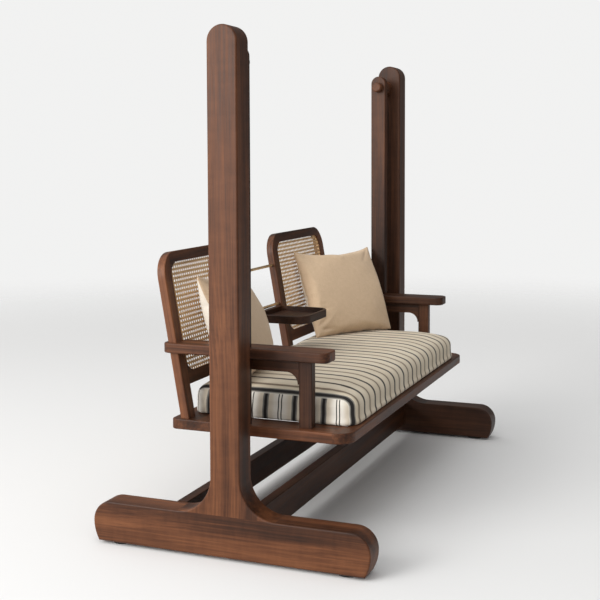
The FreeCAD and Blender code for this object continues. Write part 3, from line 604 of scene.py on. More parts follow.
@dataclass(frozen=True)
class PlainLinen:
    """Plain linen with a heathered weave: slubs both ways, and darker seams."""

    name: str
    light: Colour
    dark: Colour
    thread: Colour
    slub_x: Noise = Noise(560.0, 3.0, 0.6, stretch=(0.05, 1.0, 1.0))
    slub_y: Noise = Noise(560.0, 3.0, 0.6, stretch=(1.0, 0.05, 1.0))
    heather: Noise = Noise(46.0, 4.0, 0.65)
    fuzz: Noise = Noise(1100.0, 2.0, 0.6)
    grit: Noise = Noise(380.0, 3.0, 0.7)
    weave_share: float = 0.42
    heather_share: float = 0.18
    grit_share: float = 0.40
    body_span: Pair = (0.36, 0.64)
    fleck_span: Pair = (0.60, 0.72)
    fleck_share: float = 0.30
    seam_share: float = 0.35
    weave_rise: float = 0.8
    fuzz_rise: float = 0.2
    roughness: float = 0.88
    relief: Pair = (0.45, 0.5 * MM)

    def material(self) -> bpy.types.Material:
        """Return the material."""
        bench = MaterialBench(self.name)
        place = bench.add("UVMap", uv_map="weave").outputs["UV"]
        slub_x, slub_y, heather, fuzz, grit = (
            bench.noise(place, kind)
            for kind in (self.slub_x, self.slub_y, self.heather, self.fuzz, self.grit))
        weave = bench.weighed((slub_x, 0.5), (slub_y, 0.5))
        body = bench.weighed((weave, self.weave_share), (heather, self.heather_share),
                             (grit, self.grit_share))
        colour = bench.mix(bench.between(body, self.body_span, kind="LINEAR"), self.dark,
                           self.light)
        flecks = bench.between(slub_x, self.fleck_span, (0.0, self.fleck_share))
        colour = bench.mix(flecks, colour, self.thread)
        seam = bench.add("Attribute", attribute_name="seam").outputs["Fac"]
        colour = bench.mix(bench.math("MULTIPLY", seam, self.seam_share), colour, self.thread)
        height = bench.weighed((weave, self.weave_rise), (fuzz, self.fuzz_rise))
        return bench.finish(colour, self.roughness, bench.relief(height, *self.relief),
                            specular_ior_level=0.2, sheen_weight=0.2, sheen_roughness=0.5)


def both(*kinds: str) -> tuple[str, ...]:
    """Return the names of a kind of piece, or several, at the left and the right."""
    return tuple(f"{side}_{kind}" for side in SIDES for kind in kinds)


def deselect() -> None:
    """Select nothing, so that an operator acts only on what is chosen next."""
    for item in bpy.context.selected_objects:
        item.select_set(False)


def choose(piece: Piece) -> None:
    """Make one piece the selected and active one."""
    deselect()
    piece.select_set(True)
    bpy.context.view_layer.objects.active = piece


def newest(name: str) -> Piece:
    """Return the piece that an operator has just added, with its name."""
    piece = bpy.context.active_object
    piece.name = piece.data.name = name
    return piece


def edit(operator: Callable, **settings: object) -> None:
    """Run one operator on the active piece in edit mode.

    Args:
        operator: The operator.
        settings: Its settings.
    """
    bpy.ops.object.mode_set(mode="EDIT")
    operator(**settings)
    bpy.ops.object.mode_set(mode="OBJECT")


def modify(piece: Piece, kind: str, **settings: object) -> None:
    """Add a modifier to a piece and apply it.

    Args:
        piece: The piece.
        kind: The modifier's type.
        settings: Its settings.
    """
    choose(piece)
    bpy.ops.object.modifier_add(type=kind)
    modifier = piece.modifiers[-1]
    for name, value in settings.items():
        setattr(modifier, name, value)
    bpy.ops.object.modifier_apply(modifier=modifier.name)


def start_box(name: str, low: Vector, high: Vector) -> Piece:
    """Add a box between two corners as the start of a piece.

    Args:
        name: The piece's name.
        low: Its lowest corner.
        high: Its highest corner.

    Returns:
        The piece, with its place in its mesh.
    """
    deselect()
    bpy.ops.mesh.primitive_cube_add(size=1.0, location=(low + high) / 2)
    piece = newest(name)
    piece.scale = high - low
    choose(piece)
    bpy.ops.object.transform_apply(location=True, rotation=True, scale=True)
    return piece


def select_edges(piece: Piece, test: Callable[[Vector, Vector], bool]) -> None:
    """Select the edges whose two ends pass a test, and nothing else.

    Args:
        piece: The piece, in object mode.
        test: Says from its two ends whether an edge is wanted.
    """
    choose(piece)
    bpy.ops.object.mode_set(mode="EDIT")
    bpy.ops.mesh.select_mode(type="EDGE")
    bpy.ops.mesh.select_all(action="DESELECT")
    bpy.ops.object.mode_set(mode="OBJECT")
    for edge in piece.data.edges:
        start, end = (piece.data.vertices[index].co for index in edge.vertices)
        edge.select = test(start, end)


def smooth(piece: Piece, angle: float) -> None:
    """Shade a piece smooth, apart from edges sharper than an angle in degrees."""
    choose(piece)
    bpy.ops.object.shade_smooth_by_angle(angle=math.radians(angle))


def dress(piece: Piece, material: bpy.types.Material) -> None:
    """Give a piece its only material.

    Args:
        piece: The piece.
        material: The material.
    """
    piece.data.materials.clear()
    piece.data.materials.append(material)


@dataclass(frozen=True)
class ClothRun:
    """How a soft piece is blown up by a short cloth simulation."""

    pressure: float
    cap: float
    frames: int
    stiffness: float = 15.0
    shear_share: float = 1 / 3
    bending: float = 0.5
    mass: float = 0.3
    quality: int = 6

    def blow(self, piece: Piece, held: Callable[[Vector], float]) -> None:
        """Swell a piece, and limit how far each point moves.

        Args:
            piece: The piece, whose mesh is closed.
            held: Says how firmly a point stays where it is, from 0 to 1.
        """
        before = [vertex.co.copy() for vertex in piece.data.vertices]
        group = piece.vertex_groups.new(name="held")
        for index, point in enumerate(before):
            group.add([index], held(point), "REPLACE")
        choose(piece)
        bpy.ops.object.modifier_add(type="CLOTH")
        cloth = piece.modifiers[-1]
        settings = cloth.settings
        settings.quality = self.quality
        settings.mass = self.mass
        settings.tension_stiffness = self.stiffness
        settings.compression_stiffness = self.stiffness
        settings.shear_stiffness = self.stiffness * self.shear_share
        settings.bending_stiffness = self.bending
        settings.use_pressure = True
        settings.uniform_pressure_force = self.pressure
        settings.vertex_group_mass = group.name
        settings.effector_weights.gravity = 0.0
        cloth.collision_settings.use_collision = False
        for number in range(1, self.frames + 1):
            bpy.context.scene.frame_set(number)
        bpy.ops.object.modifier_apply(modifier=cloth.name)
        bpy.context.scene.frame_set(1)
        for vertex, start in zip(piece.data.vertices, before):
            move = vertex.co - start
            if move.length > self.cap:
                vertex.co = start + move.normalized() * self.cap
        piece.vertex_groups.clear()


@dataclass
class Timber:
    """The wooden pieces, which keep their solids and get their grain."""

    # Painted light and shade per piece: the near left pieces lighter, the far right pieces, the
    # apron, stretchers and tray darker.
    painted_shading_by_part: tuple[tuple[str, float], ...] = (
        ("apron", 0.46), ("arm_post", 0.54), ("left_armrest", 1.04), ("right_armrest", 0.42),
        ("right_foot", 0.40), ("right_post", 0.52), ("left_post", 1.02), ("left_foot", 1.04),
        ("hanger_arm", 0.64), ("stretcher", 0.60), ("outer_stile", 1.20), ("tray", 0.36),
        ("left_platform_end", 1.36), ("platform", 1.0),
    )
    # The painted light or shade of every other wooden piece.
    other_painted_shading: float = 0.90
    glow: float = 0.30
    foot_glow: float = 0.42
    next_board: Pair = (0.37, 0.21)
    board_slant: float = 0.7

    def grains(self) -> dict[str, tuple[Grain, Triple]]:
        """Say which way the grain of each wooden piece runs.

        Returns:
            For each node its grain, and the part of the board that it was cut from.
        """
        boards = (
            (both("post"), Grain.UPRIGHT, 0.10),
            (both("post_brackets"), Grain.UPRIGHT, 0.10),
            (both("foot"), Grain.FRONT_TO_BACK, 1.30),
            (("front_stretcher", "rear_stretcher"), Grain.ALONG_SEAT, 2.10),
            (both("hanger_arm"), Grain.UPRIGHT, 3.20),
            (("front_platform_rail", "rear_platform_rail"), Grain.ALONG_SEAT, 4.40),
            (both("platform_end_rail"), Grain.FRONT_TO_BACK, 5.30),
            (("seat_slats",), Grain.FRONT_TO_BACK, 6.10),
            (both("arm_post"), Grain.UPRIGHT, 6.90),
            (both("armrest"), Grain.FRONT_TO_BACK, 7.70),
            (both("armrest_apron"), Grain.FRONT_TO_BACK, 8.30),
            (both("back_outer_stile", "back_inner_stile"), Grain.UP_THE_BACK, 9.10),
            (both("back_top_rail", "back_bottom_rail"), Grain.ALONG_SEAT, 10.20),
            (("tray_rim", "tray_base", "tray_bearer"), Grain.ALONG_SEAT, 11.30),
            (("pivot_hubs", "left_pivot_knob", "right_pivot_knob", "bolt_plugs",
              "arm_post_dowels", "back_dowels"), Grain.ALONG_SEAT, 12.40),
        )
        step_x, step_y = self.next_board
        return {name: (grain, (start + step_x * count,
                               start * self.board_slant + step_y * count, start))
                for names, grain, start in boards for count, name in enumerate(names)}

    def painted_shading(self, name: str) -> float:
        """Return the factor on a wooden piece's colours that paints in its light or shade."""
        found = (painted_shading for part, painted_shading in self.painted_shading_by_part if part in name)
        return next(found, self.other_painted_shading)

    def build(self) -> None:
        """Dress every wooden node."""
        for name, (grain, shift) in self.grains().items():
            glow = self.foot_glow if name.endswith("_foot") else self.glow
            # The last argument paints the piece's light or shade into its wood colours.
            finish = OiledWood(f"wood_{name}", grain, shift, glow, self.painted_shading(name))
            dress(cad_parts[name], finish.material())
            LOG.info("%s: grain %s", name, grain.name)


@dataclass
class Fittings:
    """Metal, rubber and the cane beads, which keep their solids."""

    brass: SolidMetal = SolidMetal("aged_brass", (0.78, 0.60, 0.36), (0.46, 0.33, 0.18), 0.32)
    steel: SolidMetal = SolidMetal("plated_steel", (0.56, 0.56, 0.57), (0.30, 0.30, 0.31), 0.26)

    def build(self) -> None:
        """Dress the brass, steel, rubber and bead nodes."""
        groups = (
            (self.brass.material(), Slot.BRASS,
             ("upper_brass_rod", "lower_brass_rod", "pivot_bushes", "thrust_washers",
              "post_bolt_inserts")),
            (self.steel.material(), Slot.STEEL,
             ("pivot_axles", "axle_nuts", "hanger_bolts", "post_bolts", "slat_screws",
              "tray_screws", "foot_pad_screws")),
            (BlackRubber().material(), Slot.RUBBER, ("foot_pads",)),
            (NaturalCane("cane_bead").material(), Slot.CANE,
             both("cane_bead")),
        )
        for material, slot, names in groups:
            for name in names:
                dress(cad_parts[name], material)
                LOG.info("%s: %s", name, slot.value)


@dataclass
class CaneWork:
    """The two woven panels: pairs of strands both ways, with slanting strands through them."""

    lean: float = math.radians(10.0)
    pitch: float = 16.5 * MM
    upright_width: float = 4.3 * MM
    level_width: float = 3.4 * MM
    strand_rise: float = 0.5 * MM
    pair_gap: float = 0.6 * MM
    slant_width: float = 3.5 * MM
    lift: float = 0.5 * MM
    slant_lift: float = 1.0 * MM
    rungs: int = 4
    slant_rungs: int = 3
    corner_cut: float = 26.0 * MM
    merge_reach: float = 0.02 * MM
    smooth_angle: float = 80.0

    def strand(self, start: Vector, end: Vector, width: float, rungs: int,
               height: Callable[[float], float]) -> Piece:
        """Model one flat strand across a tile of the weave.

        Args:
            start: Where it enters the tile.
            end: Where it leaves the tile.
            width: How wide it is.
            rungs: How many faces it has along its length.
            height: Gives its height from the share of its length that lies behind.

        Returns:
            The strand, open at both ends.
        """
        run = end - start
        deselect()
        bpy.ops.mesh.primitive_cylinder_add(vertices=4, radius=0.5, depth=1.0,
                                            end_fill_type="NOTHING")
        piece = newest("cane_strand")
        select_edges(piece, lambda a, b: abs(a.z - b.z) > 0.5)
        edit(bpy.ops.mesh.subdivide, number_cuts=rungs - 1)
        shares = [vertex.co.z + 0.5 for vertex in piece.data.vertices]
        along = run.normalized()
        upward = Vector((0.0, 0.0, 1.0))
        turn = Matrix((upward.cross(along), upward, along)).transposed().to_4x4()
        size = Matrix.Diagonal((width, self.strand_rise * 2, run.length, 1.0))
        piece.data.transform(Matrix.Translation((start + end) / 2) @ turn @ size)
        for vertex, share in zip(piece.data.vertices, shares):
            vertex.co.z += height(share)
        return piece

    def tile(self) -> Piece:
        """Model one tile of the weave, centred on the crossing of two pairs.

        Slanting strands pass over one pair and under the other halfway between crossings, so
        the openings between the pairs become octagons.

        Returns:
            The joined strands of one tile.
        """
        half = self.pitch / 2
        strands = []
        for sign in (-1.0, 1.0):
            x = sign * (self.upright_width + self.pair_gap) / 2
            y = sign * (self.level_width + self.pair_gap) / 2
            foot, head = Vector((0.0, -half, 0.0)) * sign, Vector((half, 0.0, 0.0)) * sign
            bump, rise = sign * self.lift, self.slant_lift
            for start, end, width, rungs, height in (
                    (Vector((x, -half, 0.0)), Vector((x, half, 0.0)), self.upright_width,
                     self.rungs, lambda t, b=bump: -b * math.sin(math.pi * t) ** 2),
                    (Vector((-half, y, 0.0)), Vector((half, y, 0.0)), self.level_width,
                     self.rungs, lambda t, b=bump: b * math.sin(math.pi * t) ** 2),
                    (foot, head, self.slant_width, self.slant_rungs,
                     lambda t, r=rise: r * math.cos(math.pi * t)),
                    (-foot, head, self.slant_width, self.slant_rungs,
                     lambda t, r=rise: -r * math.cos(math.pi * t))):
                strands.append(self.strand(start, end, width, rungs, height))
        deselect()
        for piece in strands:
            piece.select_set(True)
        bpy.context.view_layer.objects.active = strands[0]
        bpy.ops.object.join()
        return bpy.context.active_object

    def trim(self, piece: Piece, point: Vector, outward: Vector) -> None:
        """Cut away what lies outward of a plane through a point.

        Args:
            piece: The woven sheet.
            point: A point of the plane.
            outward: The side that goes.
        """
        choose(piece)
        edit(bpy.ops.mesh.select_all, action="SELECT")
        edit(bpy.ops.mesh.bisect, plane_co=point, plane_no=outward, clear_outer=True)

    def panel(self, side: str, tile: Piece) -> Piece:
        """Weave one panel in the place of its sheet.

        Args:
            side: Which end of the seat.
            tile: The tile that repeats.

        Returns:
            The panel.
        """
        low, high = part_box(f"{side}_cane_panel")
        width = high.x - low.x
        height = (high.z - low.z) / math.cos(self.lean)
        columns = math.ceil(width / self.pitch)
        rows = math.ceil(height / self.pitch)
        piece = tile.copy()
        piece.data = tile.data.copy()
        piece.name = f"{side}_cane_weave"
        piece.data.name = piece.name
        bpy.context.scene.collection.objects.link(piece)
        for count, step in ((columns, (self.pitch, 0.0, 0.0)), (rows, (0.0, self.pitch, 0.0))):
            modify(piece, "ARRAY", count=count, use_relative_offset=False,
                   use_constant_offset=True, constant_offset_displace=step,
                   use_merge_vertices=True, merge_threshold=self.merge_reach)
        start = Vector((-(columns - 1) / 2, -(rows - 1) / 2, 0.0)) * self.pitch
        piece.data.transform(Matrix.Translation(start))
        half = Vector((width / 2, height / 2, 0.0))
        for x, y in ((1, 0), (-1, 0), (0, 1), (0, -1)):
            self.trim(piece, Vector((x * half.x, y * half.y, 0.0)), Vector((x, y, 0.0)))
        for x, y in ((-1, -1), (-1, 1), (1, -1), (1, 1)):
            outward = Vector((x, y, 0.0)).normalized()
            corner = Vector((x * half.x, y * half.y, 0.0))
            self.trim(piece, corner - outward * self.corner_cut, outward)
        turn = Matrix.Rotation(math.pi / 2 - self.lean, 4, "X")
        piece.data.transform(Matrix.Translation((low + high) / 2) @ turn)
        smooth(piece, self.smooth_angle)
        return piece

    def build(self) -> None:
        """Weave both panels."""
        tile = self.tile()
        material = NaturalCane().material()
        for side in SIDES:
            piece = self.panel(side, tile)
            dress(piece, material)
            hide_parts(f"{side}_cane_panel")
            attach(piece, Body.SEAT.value)
            LOG.info("%s: %d faces", piece.name, len(piece.data.polygons))
        bpy.data.objects.remove(tile)


@dataclass
class SeatCushion:
    """The long box cushion: crowned top, rolled front edge and boxed ends."""

    voxel: float = 9.5 * MM
    shrink: float = 2.5 * MM
    front_corner: float = 62.0 * MM
    rear_corner: float = 42.0 * MM
    roll: float = 34.0 * MM
    foot_roll: float = 9.0 * MM
    crown: float = 24.0 * MM
    top_room: float = 3.0 * MM
    long_power: float = 12.0
    deep_power: float = 4.5
    end_draw: float = 3.5 * MM
    front_draw: float = 3.0 * MM
    notch_room: float = 9.0 * MM
    stile_front: float = 216.0 * MM
    held_height: float = 14.0 * MM
    held_room: float = 10.0 * MM
    held_front: float = 190.0 * MM
    smooth_angle: float = 60.0
    run: ClothRun = ClothRun(pressure=3.0, cap=6.0 * MM, frames=14)

    def rounded(self, low: Vector, high: Vector) -> Piece:
        """Model the plain cushion: a box with rounded corners and edges.

        Args:
            low: Its lowest corner.
            high: Its highest corner.

        Returns:
            The piece.
        """
        piece = start_box("seat_cushion_cover", low, high)
        middle_y = (low.y + high.y) / 2
        edge_tests = (
            (self.front_corner, 10, lambda a, b: abs(a.z - b.z) > self.crown and a.y < middle_y),
            (self.rear_corner, 6, lambda a, b: abs(a.z - b.z) > self.crown and a.y > middle_y),
            (self.roll, 6, lambda a, b: min(a.z, b.z) > high.z - MM),
            (self.foot_roll, 3, lambda a, b: max(a.z, b.z) < low.z + MM),
        )
        for radius, steps, test in edge_tests:
            select_edges(piece, test)
            edit(bpy.ops.mesh.bevel, offset=radius, segments=steps, profile=0.5)
        return piece

    def let_in(self, piece: Piece) -> None:
        """Cut the cushion's rear edge back round the two inner stiles.

        Args:
            piece: The cushion.
        """
        for side in SIDES:
            low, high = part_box(f"{side}_back_inner_stile")
            low.y = self.stile_front
            room = Vector((self.notch_room, self.notch_room, 0.0))
            cutter = start_box("stile_room", low - room, high + room)
            modify(piece, "BOOLEAN", operation="DIFFERENCE", object=cutter, solver="EXACT")
            bpy.data.objects.remove(cutter)

    def crowned(self, piece: Piece, low: Vector, high: Vector) -> None:
        """Raise the middle of the top, and draw the sides in a little between the corners.

        Args:
            piece: The cushion, remeshed.
            low: Its lowest corner.
            high: Its highest corner.
        """
        middle = (low + high) / 2
        half = (high - low) / 2
        for vertex in piece.data.vertices:
            x = (vertex.co.x - middle.x) / half.x
            y = (vertex.co.y - middle.y) / half.y
            up = max(0.0, (vertex.co.z - low.z) / (high.z - low.z))
            swell = (1 - abs(x) ** self.long_power) * (1 - abs(y) ** self.deep_power)
            vertex.co.z += self.crown * max(0.0, swell) * up ** 2
            vertex.co.x -= math.copysign(self.end_draw, x) * abs(x) * (1 - y * y)
            vertex.co.y -= math.copysign(self.front_draw, y) * abs(y) * (1 - x * x)

    def mark_cover(self, piece: Piece) -> None:
        """Note where each point of the cover lies before it swells, for the stripes."""
        mark = piece.data.attributes.new("cover", "FLOAT_VECTOR", "POINT")
        mark.data.foreach_set("vector", [part for vertex in piece.data.vertices
                                         for part in vertex.co])

    def build(self) -> None:
        """Make the cushion and its cover."""
        low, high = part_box("seat_cushion")
        room = Vector((self.shrink, self.shrink, 0.0))
        inner_low = low + room
        inner_high = high - room - Vector((0.0, 0.0, self.crown + self.top_room))
        piece = self.rounded(inner_low, inner_high)
        self.let_in(piece)
        choose(piece)
        piece.data.remesh_voxel_size = self.voxel
        bpy.ops.object.voxel_remesh()
        self.mark_cover(piece)
        self.crowned(piece, inner_low, inner_high)
        stile_low, stile_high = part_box("right_back_inner_stile")

        def held(point: Vector) -> float:
            """Hold the foot and the two notches still, and leave the rest free."""
            out = abs(point.x)
            at_stile = stile_low.x - self.held_room < out < stile_high.x + self.held_room
            at_notch = at_stile and point.y > self.held_front
            return 1.0 if point.z < low.z + self.held_height or at_notch else 0.0

        self.run.blow(piece, held)
        modify(piece, "SUBSURF", levels=1, render_levels=1)
        smooth(piece, self.smooth_angle)
        cotton = StripedCotton(inner_high.x, inner_high.y, inner_high.z)
        dress(piece, cotton.material())
        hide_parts("seat_cushion")
        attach(piece, Body.SEAT.value)
        LOG.info("%s: %d faces", piece.name, len(piece.data.polygons))


@dataclass(frozen=True)
class Fold:
    """A crease in a pillow's front: where it lies, which way it runs and how deep it is."""

    x_share: float
    y_share: float
    turn: float
    reach: float
    depth: float
    width: float = 9.0 * MM

    def drop(self, x: float, y: float, half_x: float, half_y: float) -> float:
        """Return how far the crease sinks the front at a point.

        Args:
            x: The point across the pillow.
            y: The point up the pillow.
            half_x: Half of the pillow's width.
            half_y: Half of the pillow's height.

        Returns:
            The drop in metres.
        """
        angle = math.radians(self.turn)
        dx, dy = x - self.x_share * half_x, y - self.y_share * half_y
        along = (dx * math.cos(angle) + dy * math.sin(angle)) / self.reach
        across = (-dx * math.sin(angle) + dy * math.cos(angle)) / self.width
        return self.depth * max(0.0, 1.0 - along * along) * math.exp(-across * across)


@dataclass
class ScatterPillow:
    """A knife-edged pillow with a tan front and a cream back, standing against its back."""

    side: str
    foot: Pair
    turn: float
    lean: float
    half_thickness: float
    width: float = 437.0 * MM
    height: float = 408.0 * MM
    sink: float = 1.0 * MM
    sag: float = 16.0 * MM
    ear: float = 10.0 * MM
    top_thinning: float = 0.12
    cuts: int = 54
    spare_share: float = 1.05
    start_thickness: float = 26.0 * MM
    edge_share: float = 0.10
    seam_width: float = 7.0 * MM
    map_gap: float = 2.0
    deepest_share: float = 0.7
    plain_power: float = 0.45
    smooth_angle: float = 75.0
    folds: tuple[Fold, ...] = (
        Fold(-0.72, -0.86, -8.0, 46.0 * MM, 12.0 * MM, 7.0 * MM),
        Fold(-0.86, -0.72, 30.0, 40.0 * MM, 7.0 * MM, 6.0 * MM),
        Fold(-0.80, -0.42, 4.0, 44.0 * MM, 4.5 * MM, 5.0 * MM),
        Fold(-0.84, -0.32, -4.0, 36.0 * MM, 3.6 * MM, 5.0 * MM),
        Fold(-0.72, 0.74, -42.0, 60.0 * MM, 4.0 * MM),
        Fold(0.74, 0.76, 46.0, 62.0 * MM, 4.5 * MM), Fold(0.80, -0.78, -40.0, 48.0 * MM, 4.0 * MM),
        Fold(0.12, 0.86, 84.0, 52.0 * MM, 3.0 * MM, 16.0 * MM),
    )
    run: ClothRun = ClothRun(pressure=2.0, cap=90.0 * MM, frames=12, stiffness=60.0)

    def slab(self) -> Piece:
        """Model the flat cover: a thin box with fine faces, thinner at its edges.

        Returns:
            The cover lying flat, X across and Y up, centred on the origin.
        """
        size = Vector((self.width * self.spare_share, self.height * self.spare_share,
                       self.start_thickness))
        piece = start_box(f"{self.side}_scatter_pillow", -size / 2, size / 2)
        select_edges(piece, lambda a, b: abs(a.z - b.z) < MM)
        edit(bpy.ops.mesh.subdivide, number_cuts=self.cuts)
        for vertex in piece.data.vertices:
            x = abs(vertex.co.x) / (size.x / 2)
            y = abs(vertex.co.y) / (size.y / 2)
            vertex.co.z *= self.edge_share + (1 - self.edge_share) * (1 - max(x, y) ** 3)
        return piece

    def weave_map(self, piece: Piece) -> None:
        """Lay a flat map of the weave on the cover, and mark its seam.

        Args:
            piece: The cover before it is swollen.
        """
        layer = piece.data.uv_layers[0] if piece.data.uv_layers else piece.data.uv_layers.new()
        layer.name = "weave"
        for loop in piece.data.loops:
            point = piece.data.vertices[loop.vertex_index].co
            back = self.map_gap if point.z < 0 else 0.0
            layer.data[loop.index].uv = (point.x + back, point.y)
        mark = piece.data.attributes.new("seam", "FLOAT", "POINT")
        edge_x = self.width * self.spare_share / 2
        edge_y = self.height * self.spare_share / 2
        values = []
        for vertex in piece.data.vertices:
            gap = min(edge_x - abs(vertex.co.x), edge_y - abs(vertex.co.y))
            values.append(max(0.0, 1.0 - gap / self.seam_width))
        mark.data.foreach_set("value", values)

    def shaped(self, piece: Piece) -> None:
        """Bring the swollen cover to its size, with a sagging top edge, two ears and creases.

        Args:
            piece: The cover.
        """
        points = [vertex.co for vertex in piece.data.vertices]
        size = [max(p[axis] for p in points) - min(p[axis] for p in points) for axis in range(3)]
        target = (self.width, self.height, self.half_thickness * 2)
        half_x, half_y = self.width / 2, self.height / 2
        for vertex in piece.data.vertices:
            for axis in range(3):
                vertex.co[axis] *= target[axis] / size[axis]
            across = vertex.co.x / half_x
            up = vertex.co.y / half_y
            if up > 0:
                vertex.co.y -= self.sag * up ** 3 * (1 - across ** 2)
                vertex.co.y += self.ear * up ** 4 * abs(across) ** 6
            vertex.co.z *= 1.0 - self.top_thinning * max(0.0, up)
            if vertex.co.z > 0:
                drop = sum(fold.drop(vertex.co.x, vertex.co.y, half_x, half_y)
                           for fold in self.folds)
                vertex.co.z -= min(drop, vertex.co.z * self.deepest_share)

    def placed(self, piece: Piece) -> None:
        """Stand the pillow on the cushion, turned and leaning.

        Args:
            piece: The pillow, lying flat.
        """
        stand = Matrix.Rotation(math.radians(90.0 - self.lean), 4, "X")
        turn = Matrix.Rotation(math.radians(self.turn), 4, "Z")
        raise_up = Matrix.Translation((0.0, self.height / 2, 0.0))
        piece.data.transform(turn @ stand @ raise_up)
        low_z = min(vertex.co.z for vertex in piece.data.vertices)
        top_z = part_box("seat_cushion")[1].z
        foot = Vector((*self.foot, top_z - self.sink - low_z))
        piece.data.transform(Matrix.Translation(foot))

    def build(self, front: bpy.types.Material, back: bpy.types.Material) -> None:
        """Make the pillow.

        Args:
            front: The linen of its front.
            back: The linen of its back.
        """
        piece = self.slab()
        dress(piece, front)
        piece.data.materials.append(back)
        for face in piece.data.polygons:
            face.material_index = 1 if face.normal.z < -0.5 else 0
        self.weave_map(piece)
        self.run.blow(piece, lambda point: 0.0)
        self.shaped(piece)
        modify(piece, "SUBSURF", levels=1, render_levels=1)
        smooth(piece, self.smooth_angle)
        self.placed(piece)
        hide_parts(f"{self.side}_pillow")
        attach(piece, Body.SEAT.value)
        LOG.info("%s: %d faces", piece.name, len(piece.data.polygons))


@dataclass(frozen=True)
class SoftBox:
    """A large soft light: its place, the point that it faces, its side, watts and colour."""

    name: str
    place: Triple
    aim: Triple
    size: float
    power: float
    tint: Colour = EVEN

    def hang(self) -> None:
        """Hang the light."""
        data = bpy.data.lights.new(self.name, "AREA")
        data.shape = "SQUARE"
        data.size = self.size
        data.energy = self.power
        data.color = self.tint
        light = bpy.data.objects.new(self.name, data)
        light.location = self.place
        toward = Vector(self.aim) - Vector(self.place)
        light.rotation_euler = toward.to_track_quat("-Z", "Y").to_euler()
        bpy.context.scene.collection.objects.link(light)


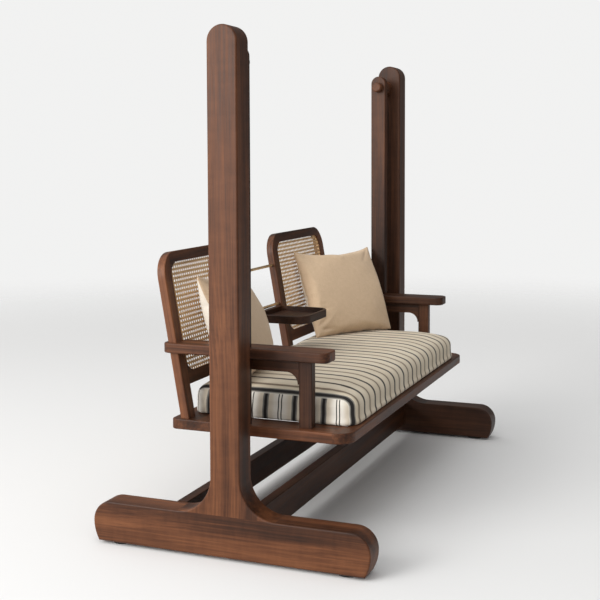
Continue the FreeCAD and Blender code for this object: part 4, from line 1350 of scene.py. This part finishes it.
@dataclass
class Studio:
    """The pale floor, the soft light and the camera."""

    camera_place: Triple = (-4.2439, -1.5735, 1.3652)
    yaw: float = 21.7
    pitch: float = -3.6
    roll: float = -0.2
    lens: float = 65.51
    sensor: float = 36.0
    shift_y: float = -0.125
    clip: Pair = (0.05, 100.0)
    floor_radius: float = 14.0
    fade: Pair = (3.2, 8.5)
    backdrop: Colour = (0.885, 0.885, 0.880)
    floor_colour: Colour = (0.80, 0.803, 0.805)
    floor_bounce: Colour = (0.42, 0.41, 0.40)
    glow_colour: Colour = (1.0, 0.995, 0.985)
    glow_from: Triple = (-0.75, 0.45, 0.45)
    glow_spread: Pair = (-0.4, 0.9)
    glow_power: Pair = (0.25, 1.14)
    lights: tuple[SoftBox, ...] = (
        SoftBox("key_light", (-7.0, 4.5, 4.6), (0.0, 0.0, 0.7), 5.0, 380.0, (1.0, 0.985, 0.96)),
        SoftBox("overhead_light", (-0.4, 0.2, 5.0), NOTHING, 4.5, 31.0),
        SoftBox("side_light", (-6.5, 3.2, 2.3), (-0.9, 0.0, 1.4), 2.6, 150.0,
                (1.0, 0.985, 0.965)),
    )

    def camera(self) -> None:
        """Set the camera at the photograph's viewpoint."""
        yaw, pitch, roll = (math.radians(a) for a in (self.yaw, self.pitch, self.roll))
        forward = Vector((math.cos(pitch) * math.cos(yaw), math.cos(pitch) * math.sin(yaw),
                          math.sin(pitch)))
        level = Vector((math.sin(yaw), -math.cos(yaw), 0.0))
        rise = level.cross(forward)
        right = math.cos(roll) * level + math.sin(roll) * rise
        upward = -math.sin(roll) * level + math.cos(roll) * rise
        turn = Matrix((right, upward, -forward)).transposed().to_4x4()
        data = bpy.data.cameras.new("viewpoint")
        data.lens = self.lens
        data.sensor_width = self.sensor
        data.shift_y = self.shift_y
        data.clip_start, data.clip_end = self.clip
        camera = bpy.data.objects.new("viewpoint", data)
        bpy.context.scene.collection.objects.link(camera)
        camera.matrix_world = Matrix.Translation(self.camera_place) @ turn
        bpy.context.scene.camera = camera

    def floor(self) -> None:
        """Lay a pale floor that fades into the backdrop far from the swing."""
        deselect()
        bpy.ops.mesh.primitive_circle_add(vertices=96, radius=self.floor_radius,
                                          fill_type="NGON")
        piece = newest("studio_floor")
        bench = MaterialBench("studio_floor")
        distance = bench.add("VectorMath", {0: bench.place()}, operation="LENGTH").outputs[1]
        bounce = bench.add("LightPath").outputs["Is Diffuse Ray"]
        seen = bench.mix(bounce, self.floor_colour, self.floor_bounce)
        piece.data.materials.append(bench.finish(seen, 0.9, specular_ior_level=0.1))
        clear = bench.add("BsdfTransparent")
        mixed = bench.add("MixShader", {0: bench.between(distance, self.fade),
                                        1: bench.shader.outputs[0], 2: clear.outputs[0]})
        bench.feed(bench.nodes["Material Output"].inputs["Surface"], mixed.outputs[0])

    def backdrop_light(self) -> None:
        """Light the room softly from the left, and show a plain pale backdrop behind it."""
        world = bpy.data.worlds.new("studio")
        bench = NodeBench(world)
        bench.nodes.clear()
        toward = bench.add("VectorMath", {0: bench.add("TexCoord").outputs["Generated"],
                                          1: Vector(self.glow_from).normalized()},
                           operation="DOT_PRODUCT").outputs["Value"]
        power = bench.between(toward, self.glow_spread, self.glow_power)
        glow = bench.add("Background", {0: self.glow_colour, 1: power})
        plain = bench.add("Background", {0: self.backdrop})
        path = bench.add("LightPath").outputs["Is Camera Ray"]
        seen = bench.add("MixShader", {0: path, 1: glow.outputs[0], 2: plain.outputs[0]})
        bench.add("OutputWorld", {0: seen.outputs[0]})
        bpy.context.scene.world = world

    def build(self) -> None:
        """Set up the studio."""
        bpy.context.scene.view_settings.view_transform = "Standard"
        self.camera()
        self.floor()
        for light in self.lights:
            light.hang()
        self.backdrop_light()
        LOG.info("studio: camera, floor and lights")


def main() -> None:
    """Build and dress the swing, then set up the studio."""
    logging.basicConfig(level=logging.INFO, format="%(name)s %(message)s")
    Studio().build()
    Timber().build()
    Fittings().build()
    CaneWork().build()
    SeatCushion().build()
    tan = PlainLinen("tan_linen", (0.70, 0.525, 0.36), (0.53, 0.385, 0.25),
                     (0.38, 0.26, 0.165)).material()
    cream = PlainLinen("cream_linen", (0.86, 0.80, 0.71), (0.74, 0.67, 0.57),
                       (0.58, 0.50, 0.39)).material()
    ScatterPillow("left", foot=(-0.4926, 0.0903), turn=8.3, lean=23.8,
                  half_thickness=74.0 * MM).build(tan, cream)
    ScatterPillow("right", foot=(0.475, 0.035), turn=-32.7, lean=25.3,
                  half_thickness=66.0 * MM).build(tan, cream)
    deselect()


if __name__ == "__main__":
    main()
